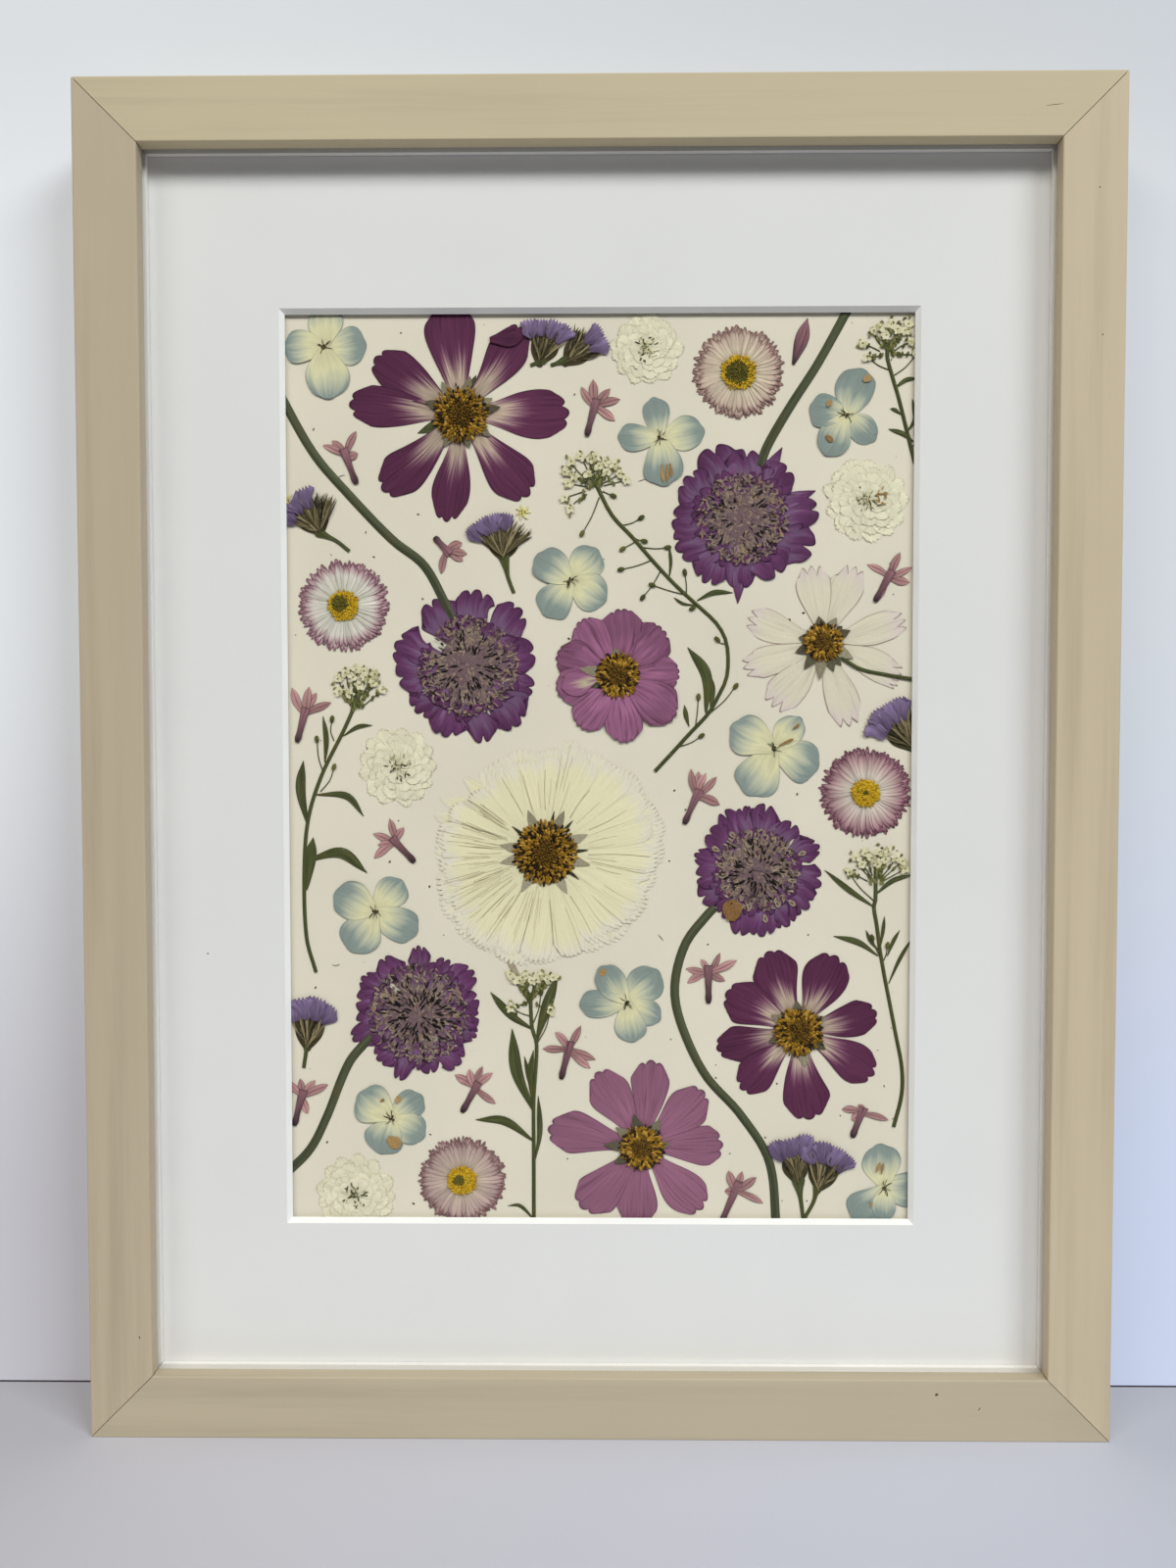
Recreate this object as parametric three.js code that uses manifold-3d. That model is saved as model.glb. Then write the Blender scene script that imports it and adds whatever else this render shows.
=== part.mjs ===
// Pressed flowers under glass in a mitred wooden box frame.
// Millimetres. +X is right, +Z is up and the glazed front faces -Y.
// The origin is the middle of the footprint, on the surface that the bottom rail stands on.
import * as THREE from "three";
import { mergeVertices } from "three/addons/utils/BufferGeometryUtils.js";
import Module from "manifold-3d";

const wasm = await Module();
wasm.setup();

// ---------------------------------------------------------------- driving dimensions
const FRAME_WIDTH = 326;
const FRAME_HEIGHT = 429;
const FRAME_DEPTH = 32;
const FACE_WIDTH = 20; // front face of each rail and stile
const LIP_OVERLAP = 7; // how far the lip covers the glass
const LIP_DEPTH = 5.2;
const MITRE_GAP = 0.2;

const SHEET_CLEARANCE = 0.5; // round the edge of the glass, mat and boards
const STACK_GAP = 0.1; // between one layer of the stack and the next
const GLASS_THICKNESS = 2;
const SPACER_THICKNESS = 1.8;
const SPACER_SHOWS = 0.3; // spacer strips stand this far inside the lip
const SPACER_TO_MAT = 0.25;
const MAT_THICKNESS = 1.5;
const WINDOW_WIDTH = 201; // at the back of the bevel
const WINDOW_HEIGHT = 292;
const WINDOW_SHIFT_X = 0.4; // the window is cut a little off centre
const WINDOW_SHIFT_Z = -0.8;
const FLOWER_THICKNESS = 0.8;
const FLOWER_GAP = 0.15;
const DISC_THICKNESS = 1.8; // flower heads' firm centres
const MOUNTING_SHEET_THICKNESS = 0.5;
const BACKING_THICKNESS = 3;

const TAB_THICKNESS = 0.5;
const TAB_WIDTH = 7;
const TAB_LENGTH = 18;
const TAB_IN_WOOD = 8;
const TAB_SLOT_CLEARANCE = 0.15;
const HANGER_WIDTH = 46;
const HANGER_HEIGHT = 9;
const HANGER_THICKNESS = 1;
const HANGER_BELOW_TOP = 44; // hanger's top edge below the frame's top
const HANGER_TEETH = 8;
const TOOTH_HEIGHT = 2.5;

// ---------------------------------------------------------------- worked-out sizes
const FRONT = -FRAME_DEPTH / 2; // Y of the front face
const OPENING_WIDTH = FRAME_WIDTH - 2 * FACE_WIDTH;
const OPENING_HEIGHT = FRAME_HEIGHT - 2 * FACE_WIDTH;
const REBATE_WIDTH = OPENING_WIDTH + 2 * LIP_OVERLAP;
const REBATE_HEIGHT = OPENING_HEIGHT + 2 * LIP_OVERLAP;
const BOARD_WIDTH = REBATE_WIDTH - 2 * SHEET_CLEARANCE;
const BOARD_HEIGHT = REBATE_HEIGHT - 2 * SHEET_CLEARANCE;
const WALL_THICKNESS = FACE_WIDTH - LIP_OVERLAP;
const MIDDLE_Z = FRAME_HEIGHT / 2;
const WINDOW_Z = MIDDLE_Z + WINDOW_SHIFT_Z;

// Depths of the stack, measured back from the front face.
const GLASS_FRONT = LIP_DEPTH + STACK_GAP;
const SPACER_FRONT = GLASS_FRONT + GLASS_THICKNESS + STACK_GAP;
const MAT_FRONT = SPACER_FRONT + SPACER_THICKNESS + SPACER_TO_MAT;
const FLOWER_FRONT = MAT_FRONT + MAT_THICKNESS + FLOWER_GAP;
const FLOWER_BACK = FLOWER_FRONT + FLOWER_THICKNESS;
const SHEET_FRONT = FLOWER_BACK + FLOWER_GAP;
const BACKING_FRONT = SHEET_FRONT + MOUNTING_SHEET_THICKNESS + STACK_GAP;
const BACKING_BACK = BACKING_FRONT + BACKING_THICKNESS;
const TAB_FRONT = BACKING_BACK + STACK_GAP;

// ---------------------------------------------------------------- flowers on the sheet
// Places are [x, z] from the middle of the mat's window. Angles are in degrees, anticlockwise from +X.
// A petal is [angle, length from the flower's centre, greatest width].
const PETALLED_FLOWERS = [
  {
    name: "cosmos_purple_large", centre: [-44.5, 114.5], disc: 8.5, colour: 0x502c44,
    petals: [[1, 35, 16], [53, 34.5, 12.5], [96, 35, 16], [147, 33, 13.5], [175, 36, 13.5],
      [-136, 35, 14], [-98, 34.5, 12], [-50, 34, 14.5]],
  },
  {
    name: "cosmos_purple_small", centre: [65, -84.5], disc: 7.5, colour: 0x502c44,
    petals: [[13, 26, 12], [64, 27.5, 15], [112, 28, 14.5], [152, 27, 14], [-167, 27.5, 11.5],
      [-135, 27, 12], [-83, 29.5, 15], [-30, 28.5, 12.5]],
  },
  {
    name: "cosmos_mauve", centre: [14, -123], disc: 6.8, colour: 0x886573,
    petals: [[2, 26.5, 13], [43, 27.5, 13.5], [84, 29, 12.5], [121, 29, 13.5], [169, 31.5, 13.5],
      [-135, 28.5, 14.5], [-95, 26.5, 13.5], [-46, 28.5, 13.5]],
  },
  {
    name: "cosmos_pink", centre: [6, 31], disc: 6.8, colour: 0x8d6679,
    petals: [[1, 19.5, 13], [45, 20.5, 14], [87, 21, 13.5], [125, 21, 13], [161, 20.5, 12.5],
      [-165, 20, 12], [-126, 20.5, 12.5], [-85, 21.5, 13], [-37, 22.5, 15]],
  },
  {
    name: "cosmos_white", centre: [72, 41.5], disc: 5.8, colour: 0xd6cec2,
    petals: [[15, 27.5, 10], [67, 26.5, 11], [99, 25, 10], [162, 25.5, 10], [-162, 27, 10],
      [-128, 26.5, 12], [-72, 28.5, 11], [-22, 27.5, 9]],
  },
];

// A scabiosa is a ruffled head of florets on its own stem, pressed as one piece.
const SCABIOSAS = [
  {
    name: "scabiosa_left", centre: [-42.5, 34], radius: 24, florets: 10, turn: 10,
    stem: [[-104, 124], [-92, 102.5], [-80.5, 89], [-66.5, 74.5], [-56.5, 66.5], [-49.5, 54]],
  },
  {
    name: "scabiosa_top", centre: [46, 81], radius: 23.5, florets: 10, turn: 0,
    stem: [[81, 150.5], [70, 130.5], [61, 116.5], [52, 101]],
  },
  {
    name: "scabiosa_right", centre: [51, -32], radius: 20.5, florets: 9, turn: 14,
    stem: [[37, -44], [28, -56], [24.5, -70], [26.5, -82], [34.5, -99], [46, -112], [55.5, -127.5],
      [58, -149.5]],
  },
  {
    name: "scabiosa_low", centre: [-59, -79], radius: 21.5, florets: 10, turn: 6,
    stem: [[-74, -86], [-82, -95.5], [-89.5, -113.5], [-95, -124], [-104, -133]],
  },
];

// Round heads with a scalloped edge. The cream cosmos is a full double flower, so its edge is one outline.
const ROUND_HEADS = [
  { name: "cosmos_cream", centre: [-17, -26.5], radius: 36, disc: 10.5, scallops: 22, colour: 0xdcd7b4 },
  { name: "daisy_magenta", centre: [-82.5, 53.5], radius: 14.8, disc: 5, scallops: 18, colour: 0xc8aab4 },
  { name: "daisy_beige", centre: [44.5, 127.5], radius: 14.6, disc: 5.8, scallops: 18, colour: 0xb4a48e },
  { name: "daisy_mauve", centre: [86, -7], radius: 14.8, disc: 4.6, scallops: 18, colour: 0xb496a4 },
  { name: "daisy_pink", centre: [-45, -134], radius: 14.4, disc: 4.8, scallops: 18, colour: 0xc4aca8 },
  { name: "double_white_top", centre: [15, 135], radius: 11.4, disc: 3.5, scallops: 11, colour: 0xd4d1ab },
  { name: "double_white_right", centre: [85.5, 87], radius: 13.4, disc: 3.5, scallops: 11, colour: 0xd4d1ab },
  { name: "double_white_left", centre: [-65, 1.5], radius: 12.6, disc: 3.5, scallops: 11, colour: 0xd4d1ab },
  { name: "double_white_low", centre: [-80, -139], radius: 13, disc: 3.5, scallops: 11, colour: 0xd4d1ab },
];

// Hydrangea florets: four or five round sepals, each [angle, length from the centre, width].
const HYDRANGEAS = [
  { centre: [-88, 136], sepals: [[3, 13.5, 12], [88, 14, 11], [178, 13, 11], [-85, 16.5, 14] ] },
  { centre: [19.5, 107], sepals: [[9, 14.5, 11], [100, 13, 8.5], [179, 13.5, 9], [-84, 15.5, 13] ] },
  { centre: [79, 114], sepals: [[-41, 12.5, 9], [71, 15.5, 13], [168, 12, 11], [-118, 14.5, 10.5] ] },
  { centre: [-9.5, 61.5], sepals: [[48, 13.5, 11], [-30, 13.5, 12], [-125, 14, 12], [143, 13.5, 12] ] },
  { centre: [56.5, 7], sepals: [[51, 13.5, 9.5], [-23, 15.5, 13.5], [-122, 17, 14.5], [150, 16, 13] ] },
  { centre: [-73, -45.5], sepals: [[49, 13.5, 10.5], [-29, 15.5, 12], [-122, 15.5, 13], [156, 14.5, 13] ] },
  {
    centre: [9, -75],
    sepals: [[45, 14.5, 12], [-29, 12.5, 8.5], [-82, 13.5, 10], [184, 15.5, 9.5], [129, 14.5, 10]],
  },
  { centre: [-68, -113.5], sepals: [[36, 12.5, 10], [-31, 12.5, 10.5], [-109, 12.5, 12.5], [143, 13.5, 13] ] },
  { centre: [93, -136], sepals: [[96, 14.5, 12.5], [-4, 12, 12], [-130, 15, 12.5], [-90, 11, 8] ] },
];

// Statice: papery petals over a brush of calyxes that narrows to a stalk.
// A fan is [apex, angle it points along, reach, half of its spread].
const STATICES = [
  { fans: [[[-90, 77], 112, 15, 42]], stalks: [[[-90, 77], [-80.5, 71]]] },
  { fans: [[[-31, 69], 100, 15, 48]], stalks: [[[-31, 69.5], [-27.5, 57.5]]] },
  { fans: [[[-19, 131], 73, 14.5, 32], [[-10.5, 131], 44, 15, 26]], stalks: [[[-20, 131.5], [-10, 131.5]]] },
  { fans: [[[-95.5, -90], 84, 16.5, 28]], stalks: [[[-95.5, -88.5], [-96.5, -96]]] },
  { fans: [[[101, 7.5], 124, 17, 27]], stalks: [[[100, 9], [102.5, 5]]] },
  {
    fans: [[[65, -134.5], 98, 16, 26], [[71.5, -136.5], 72, 15.5, 32]],
    stalks: [[[65, -134], [67, -148.5]], [[71.5, -135.5], [67, -145.5]]],
  },
];

// Alyssum sprigs: a stem, long leaves ([foot, tip, width]) and a flat-topped head of tiny flowers.
const SPRIGS = [
  {
    name: "sprig_left", head: [-78, 28, 6, 5],
    stem: [[-79, 27], [-82.5, 14], [-90, -1], [-94.5, -15], [-96, -31.5], [-95.5, -54], [-92.5, -65.5]],
    leaves: [[[-83, 11.5], [-73.5, 15], 1.6], [[-89, 3], [-89, 18], 2], [[-95, -16.5], [-96, 3.5], 3.2],
      [[-92, -7.5], [-76.5, -14.5], 2.2], [[-95.5, -38.5], [-93, -21.5], 3.6], [[-95, -29], [-75.5, -33], 3.4]],
  },
  {
    name: "sprig_centre", head: [-1, 97, 8, 5],
    stem: [[-3, 96], [4, 82.5], [17, 68], [31, 54], [40.5, 43], [41.5, 37.5], [38, 23.5], [29, 12], [18, 0]],
    leaves: [[[23, 61], [22.5, 72.5], 1.4], [[31.5, 54], [43, 57.5], 1.8], [[37, 20], [28.5, 40], 3],
      [[28, 11], [27.5, 21.5], 1.5]],
  },
  {
    name: "sprig_top_right", head: [91.5, 138, 8, 4.5],
    stem: [[92, 138], [93.5, 126.5], [98, 110.5], [101.5, 96.5]],
    leaves: [[[95, 122.5], [103, 126], 1.6], [[99, 108], [92.5, 110], 1.6]],
  },
  {
    name: "sprig_right", head: [90, -29, 8, 3.6],
    stem: [[89.5, -30], [89.5, -44], [91, -57.5], [94, -73.5], [98.5, -96.5], [98.5, -105.5], [96, -116]],
    leaves: [[[89.5, -44], [73, -32], 1.7], [[89.5, -42], [101.5, -33.5], 1.6], [[91.8, -61.5], [76, -53.5], 1.6],
      [[94, -70], [102, -52], 1.4]],
  },
  {
    name: "sprig_low", head: [-21.5, -69, 6.5, 3.4],
    stem: [[-22.5, -70], [-22, -83.5], [-20.5, -89], [-21.5, -108], [-21.5, -122.5], [-21.5, -149.5]],
    leaves: [[[-21.5, -84], [-35.5, -72], 2.8], [[-21, -88], [-13, -66], 3.4], [[-21.5, -111], [-28.5, -84], 3.6],
      [[-21, -107], [-24.5, -93], 2], [[-21.5, -121], [-40.5, -114], 2.8], [[-21.5, -145], [-30, -141.5], 1.2]],
  },
];
const STEM_WIDTH = 2.9; // scabiosa stems
const SPRIG_STEM_WIDTH = 1.4;
const STALK_WIDTH = 1.3;

// ---------------------------------------------------------------- solids
function solidOf(geometry) {
  const bare = geometry.clone();
  bare.deleteAttribute("normal");
  bare.deleteAttribute("uv");
  const merged = mergeVertices(bare, 1e-4);
  return new wasm.Manifold(
    new wasm.Mesh({
      numProp: 3,
      vertProperties: new Float32Array(merged.attributes.position.array),
      triVerts: new Uint32Array(merged.index.array),
    }),
  );
}

function geometryOf(solid) {
  const mesh = solid.getMesh();
  const geometry = new THREE.BufferGeometry();
  geometry.setAttribute("position", new THREE.BufferAttribute(new Float32Array(mesh.vertProperties), 3));
  geometry.setIndex(new THREE.BufferAttribute(new Uint32Array(mesh.triVerts), 1));
  geometry.computeVertexNormals();
  return geometry;
}

/** A flat piece of the given outline, between two depths behind the front face. */
function plate(outline, front, back) {
  const shape = new THREE.Shape(outline.map(([x, z]) => new THREE.Vector2(x, z)));
  const geometry = new THREE.ExtrudeGeometry(shape, { depth: back - front, bevelEnabled: false });
  geometry.rotateX(Math.PI / 2);
  geometry.translate(0, FRONT + back, 0);
  return solidOf(geometry);
}

function rectangle(x, z, width, height) {
  const [w, h] = [width / 2, height / 2];
  return [[x - w, z - h], [x + w, z - h], [x + w, z + h], [x - w, z + h]];
}

function union(solids) {
  return solids.reduce((all, solid) => all.add(solid));
}

// ---------------------------------------------------------------- wooden frame
/** Mitred outline of one side of a ring, in the ring's own plane. along is half of the outer length. */
function mitred(along, outer, width) {
  const gap = MITRE_GAP / Math.SQRT2;
  return [[-along + gap, outer], [-along + width + gap, outer - width], [along - width - gap, outer - width],
    [along - gap, outer]];
}

/** Turns an outline by quarter turns about the ring's middle and lifts it to the frame's middle. */
function turned(outline, quarters) {
  const [c, s] = [[1, 0], [0, 1], [-1, 0], [0, -1]][quarters];
  return outline.map(([x, z]) => [x * c - z * s, MIDDLE_Z + x * s + z * c]);
}

/** One rail or stile: a wall behind, and a face whose inner part is the lip. */
function frameMember(quarters) {
  const upright = quarters % 2 === 1;
  const along = (upright ? FRAME_HEIGHT : FRAME_WIDTH) / 2;
  const outer = (upright ? FRAME_WIDTH : FRAME_HEIGHT) / 2;
  const face = plate(clockwise(turned(mitred(along, outer, FACE_WIDTH), quarters)), 0, LIP_DEPTH);
  const wall = plate(clockwise(turned(mitred(along, outer, WALL_THICKNESS), quarters)), 0, FRAME_DEPTH);
  return face.add(wall);
}

function clockwise(outline) {
  return [...outline].reverse();
}

/** Places of the bendable tabs: [x, z, whether it lies along X, direction into the wood]. */
function tabPlaces() {
  const inner = [REBATE_WIDTH / 2, REBATE_HEIGHT / 2];
  const heights = [-1, 0, 1].map((step) => MIDDLE_Z + (step * REBATE_HEIGHT) / 3.2);
  const places = [];
  for (const side of [-1, 1]) {
    for (const z of heights) places.push({ x: side * inner[0], z, alongX: true, side });
    places.push({ x: 0, z: MIDDLE_Z + side * inner[1], alongX: false, side });
  }
  return places;
}

function tab({ x, z, alongX, side }, grow = 0) {
  const middle = side * (TAB_IN_WOOD - TAB_LENGTH / 2);
  const [cx, cz] = alongX ? [x + middle, z] : [x, z + middle];
  const [w, h] = alongX ? [TAB_LENGTH, TAB_WIDTH] : [TAB_WIDTH, TAB_LENGTH];
  return plate(rectangle(cx, cz, w + 2 * grow, h + 2 * grow), TAB_FRONT - grow, TAB_FRONT + TAB_THICKNESS + grow);
}

// ---------------------------------------------------------------- stack behind the lip
function spacer(quarters) {
  const upright = quarters % 2 === 1;
  const along = (upright ? BOARD_HEIGHT : BOARD_WIDTH) / 2;
  const outer = (upright ? BOARD_WIDTH : BOARD_HEIGHT) / 2;
  const width = LIP_OVERLAP - SHEET_CLEARANCE + SPACER_SHOWS;
  const outline = clockwise(turned(mitred(along, outer, width), quarters));
  return plate(outline, SPACER_FRONT, SPACER_FRONT + SPACER_THICKNESS);
}

/** The mat's window, cut at 45 degrees: wider at the front than at the back. */
function windowCutter() {
  const past = 0.5; // the cutter runs on past both faces
  const depth = MAT_THICKNESS + 2 * past;
  const cutter = new THREE.BoxGeometry(1, depth, 1);
  const corners = cutter.attributes.position;
  for (let i = 0; i < corners.count; i += 1) {
    const grow = corners.getY(i) < 0 ? 2 * (MAT_THICKNESS + past) : -2 * past;
    corners.setX(i, Math.sign(corners.getX(i)) * (WINDOW_WIDTH + grow) * 0.5);
    corners.setZ(i, Math.sign(corners.getZ(i)) * (WINDOW_HEIGHT + grow) * 0.5);
  }
  cutter.translate(WINDOW_SHIFT_X, FRONT + MAT_FRONT + MAT_THICKNESS / 2, WINDOW_Z);
  return solidOf(cutter);
}

function board(front, thickness) {
  return plate(rectangle(0, MIDDLE_Z, BOARD_WIDTH, BOARD_HEIGHT), front, front + thickness);
}

/** Toothed hanger: a strip whose lower edge is a row of teeth for a nail. */
function hanger() {
  const top = FRAME_HEIGHT - HANGER_BELOW_TOP;
  const bottom = top - HANGER_HEIGHT;
  const half = HANGER_WIDTH / 2;
  const toothedFrom = -half * 0.62;
  const pitch = (-2 * toothedFrom) / HANGER_TEETH;
  const outline = [[half, bottom], [half, top], [-half, top], [-half, bottom]];
  for (let i = 0; i <= HANGER_TEETH; i += 1) {
    outline.push([toothedFrom + i * pitch, bottom]);
    if (i < HANGER_TEETH) outline.push([toothedFrom + (i + 0.5) * pitch, bottom + TOOTH_HEIGHT]);
  }
  return plate(clockwise(outline), TAB_FRONT, TAB_FRONT + HANGER_THICKNESS);
}

// ---------------------------------------------------------------- flower outlines
const radians = (degrees) => (degrees * Math.PI) / 180;

/** From the middle of the window to the frame's own x and z. */
function onSheet([x, z]) {
  return [x + WINDOW_SHIFT_X, z + WINDOW_Z];
}

function polar([x, z], angle, radius) {
  return [x + radius * Math.cos(radians(angle)), z + radius * Math.sin(radians(angle))];
}

function ring(centre, radiusAt, steps) {
  return Array.from({ length: steps }, (_, i) => {
    const angle = (360 * i) / steps;
    return polar(centre, angle, radiusAt(angle));
  });
}

/** Shape between a foot and a tip. profile is [share of the way, share of the half width]. */
function blade(foot, tip, width, profile) {
  const [dx, dz] = [tip[0] - foot[0], tip[1] - foot[1]];
  const length = Math.hypot(dx, dz);
  const [ux, uz] = [dx / length, dz / length];
  const at = (share, across) => [
    foot[0] + dx * share - (uz * across * width) / 2,
    foot[1] + dz * share + (ux * across * width) / 2,
  ];
  const right = profile.map(([share, across]) => at(share, -across));
  const left = [...profile].reverse().map(([share, across]) => at(share, across));
  return [...right, ...left];
}

const COSMOS_PETAL = [[0.05, 0.2], [0.3, 0.55], [0.55, 0.95], [0.78, 1], [0.93, 0.75], [1, 0.3]];
const ROUND_SEPAL = [[0, 0.16], [0.35, 0.75], [0.65, 1], [0.88, 0.75], [1, 0.25]];
const LEAF = [[0, 0.3], [0.35, 0.95], [0.65, 0.85], [1, 0.08]];

/** A strip of even width along a bent line. */
function ribbon(line, width) {
  const sides = line.map(([x, z], i) => {
    const before = line[Math.max(i - 1, 0)];
    const after = line[Math.min(i + 1, line.length - 1)];
    const [dx, dz] = [after[0] - before[0], after[1] - before[1]];
    const across = width / 2 / Math.hypot(dx, dz);
    return [[x + dz * across, z - dx * across], [x - dz * across, z + dx * across]];
  });
  return [...sides.map(([right]) => right), ...sides.map(([, left]) => left).reverse()];
}

const pressed = (outline, front = FLOWER_FRONT) => plate(outline, front, FLOWER_BACK);
const DISC_FRONT = FLOWER_BACK - DISC_THICKNESS;
const DISC_SIDES = 16;

function disc(centre, radius) {
  return pressed(ring(centre, () => radius, DISC_SIDES), DISC_FRONT);
}

function petalledFlower({ centre, disc: discRadius, petals }) {
  const middle = onSheet(centre);
  const blades = petals.map(([angle, length, width]) =>
    pressed(blade(middle, polar(middle, angle, length), width, COSMOS_PETAL)));
  return union([disc(middle, discRadius), ...blades]);
}

function scabiosa({ centre, radius, florets, turn, stem }) {
  const middle = onSheet(centre);
  const ruffle = (angle) => radius * (0.86 + 0.14 * Math.abs(Math.cos(radians(((angle - turn) * florets) / 2))));
  const head = pressed(ring(middle, ruffle, 4 * florets));
  return union([head, pressed(ribbon(stem.map(onSheet), STEM_WIDTH))]);
}

function roundHead({ centre, radius, disc: discRadius, scallops }) {
  const middle = onSheet(centre);
  const edge = (angle) => radius * (0.96 + 0.04 * Math.cos(radians(angle * scallops)));
  return union([pressed(ring(middle, edge, 2 * scallops)), disc(middle, discRadius)]);
}

function hydrangea({ centre, sepals }) {
  const middle = onSheet(centre);
  return union(sepals.map(([angle, length, width]) =>
    pressed(blade(polar(middle, angle, -1), polar(middle, angle, length), width, ROUND_SEPAL))));
}

function statice({ fans, stalks }) {
  const heads = fans.map(([apex, angle, reach, spread]) => {
    const foot = onSheet(apex);
    const arc = [-1, -0.6, -0.2, 0.2, 0.6, 1].map((share) => polar(foot, angle + share * spread, reach));
    return pressed([polar(foot, angle - 90, 0.8), ...arc, polar(foot, angle + 90, 0.8)]);
  });
  const stems = stalks.map((line) => pressed(ribbon(line.map(onSheet), STALK_WIDTH)));
  return union([...heads, ...stems]);
}

function sprig({ stem, leaves, head: [x, z, halfWidth, halfHeight] }) {
  const middle = onSheet([x, z]);
  const umbel = Array.from({ length: 12 }, (_, i) => {
    const angle = (Math.PI * i) / 6;
    return [middle[0] + halfWidth * Math.cos(angle), middle[1] + halfHeight * Math.sin(angle)];
  });
  const blades = leaves.map(([foot, tip, width]) => pressed(blade(onSheet(foot), onSheet(tip), width, LEAF)));
  return union([pressed(ribbon(stem.map(onSheet), SPRIG_STEM_WIDTH)), pressed(umbel), ...blades]);
}

// ---------------------------------------------------------------- materials
function finish(color, roughness, extra = {}) {
  return new THREE.MeshStandardMaterial({ color, roughness, metalness: 0, ...extra });
}

const WOOD = finish(0xbeb496, 0.6);
const GLASS = finish(0xf4f8f8, 0.05, { transparent: true, opacity: 0.12 });
const WHITE_CARD = finish(0xe6e4de, 0.9);
const CREAM_PAPER = finish(0xe2dbcd, 0.95);
const FIBREBOARD = finish(0x8a6a4a, 0.85);
const STEEL = finish(0xb4b4b0, 0.35, { metalness: 0.9 });
const SCABIOSA_VIOLET = finish(0x604459, 0.8);
const HYDRANGEA_BLUE = finish(0x96afbe, 0.8);
const STATICE_VIOLET = finish(0x786ea0, 0.8);
const LEAF_GREEN = finish(0x3f432c, 0.8);

// ---------------------------------------------------------------- assembly
const frame = new THREE.Group();

function add(name, solid, material) {
  const mesh = new THREE.Mesh(geometryOf(solid), material);
  mesh.name = name;
  frame.add(mesh);
}

const slots = union(tabPlaces().map((place) => tab(place, TAB_SLOT_CLEARANCE)));
["rail_top", "stile_left", "rail_bottom", "stile_right"].forEach((name, quarters) => {
  add(name, frameMember(quarters).subtract(slots), WOOD);
});
["spacer_top", "spacer_left", "spacer_bottom", "spacer_right"].forEach((name, quarters) => {
  add(name, spacer(quarters), WHITE_CARD);
});
add("glass_pane", board(GLASS_FRONT, GLASS_THICKNESS), GLASS);
add("mat_board", board(MAT_FRONT, MAT_THICKNESS).subtract(windowCutter()), WHITE_CARD);
add("mounting_sheet", board(SHEET_FRONT, MOUNTING_SHEET_THICKNESS), CREAM_PAPER);
add("backing_board", board(BACKING_FRONT, BACKING_THICKNESS), FIBREBOARD);
add("hanger", hanger(), STEEL);
tabPlaces().forEach((place, i) => add(`retaining_tab_${i + 1}`, tab(place), STEEL));

for (const flower of PETALLED_FLOWERS) add(flower.name, petalledFlower(flower), finish(flower.colour, 0.8));
for (const flower of SCABIOSAS) add(flower.name, scabiosa(flower), SCABIOSA_VIOLET);
for (const head of ROUND_HEADS) add(head.name, roundHead(head), finish(head.colour, 0.85));
HYDRANGEAS.forEach((floret, i) => add(`hydrangea_${i + 1}`, hydrangea(floret), HYDRANGEA_BLUE));
STATICES.forEach((head, i) => add(`statice_${i + 1}`, statice(head), STATICE_VIOLET));
for (const stalk of SPRIGS) add(stalk.name, sprig(stalk), LEAF_GREEN);

export default frame;
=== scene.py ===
"""Looks of a pressed flower frame: wood, glass, mat, paper, back and every pressed flower.

The tables are in millimetres. A place on the paper is (x, z) from the middle of the mat's window, and
an angle is in degrees, anticlockwise from +X as seen from the front. Heights are above the paper.
"""
import math
import random
from dataclasses import dataclass

import bmesh
import bpy
from mathutils import Matrix, Vector


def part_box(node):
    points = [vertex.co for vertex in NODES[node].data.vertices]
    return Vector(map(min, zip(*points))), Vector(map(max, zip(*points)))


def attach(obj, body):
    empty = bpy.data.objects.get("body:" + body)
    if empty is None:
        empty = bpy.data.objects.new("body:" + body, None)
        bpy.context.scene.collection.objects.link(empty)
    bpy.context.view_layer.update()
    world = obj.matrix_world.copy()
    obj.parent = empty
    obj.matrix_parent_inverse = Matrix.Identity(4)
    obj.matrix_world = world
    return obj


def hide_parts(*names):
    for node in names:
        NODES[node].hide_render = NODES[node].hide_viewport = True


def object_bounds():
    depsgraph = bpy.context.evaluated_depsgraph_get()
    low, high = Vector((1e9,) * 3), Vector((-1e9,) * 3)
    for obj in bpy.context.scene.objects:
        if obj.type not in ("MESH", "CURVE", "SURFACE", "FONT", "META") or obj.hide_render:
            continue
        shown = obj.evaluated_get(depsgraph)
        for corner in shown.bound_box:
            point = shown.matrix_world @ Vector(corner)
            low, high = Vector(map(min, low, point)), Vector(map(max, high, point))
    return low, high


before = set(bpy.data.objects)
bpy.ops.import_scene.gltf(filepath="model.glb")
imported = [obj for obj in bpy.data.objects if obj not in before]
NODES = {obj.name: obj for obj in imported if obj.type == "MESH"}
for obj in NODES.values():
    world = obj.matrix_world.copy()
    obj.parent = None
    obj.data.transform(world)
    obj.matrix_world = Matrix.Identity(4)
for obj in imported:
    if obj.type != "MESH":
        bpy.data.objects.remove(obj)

bl_info = {
    "name": "Pressed flower frame",
    "version": (1, 0, 0),
    "blender": (4, 5, 0),
    "location": "3D View > Sidebar > Pressed Flowers",
    "description": "Finishes the frame's wood, glass, mat and back, and makes its pressed flowers",
    "category": "Object",
}

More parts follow.
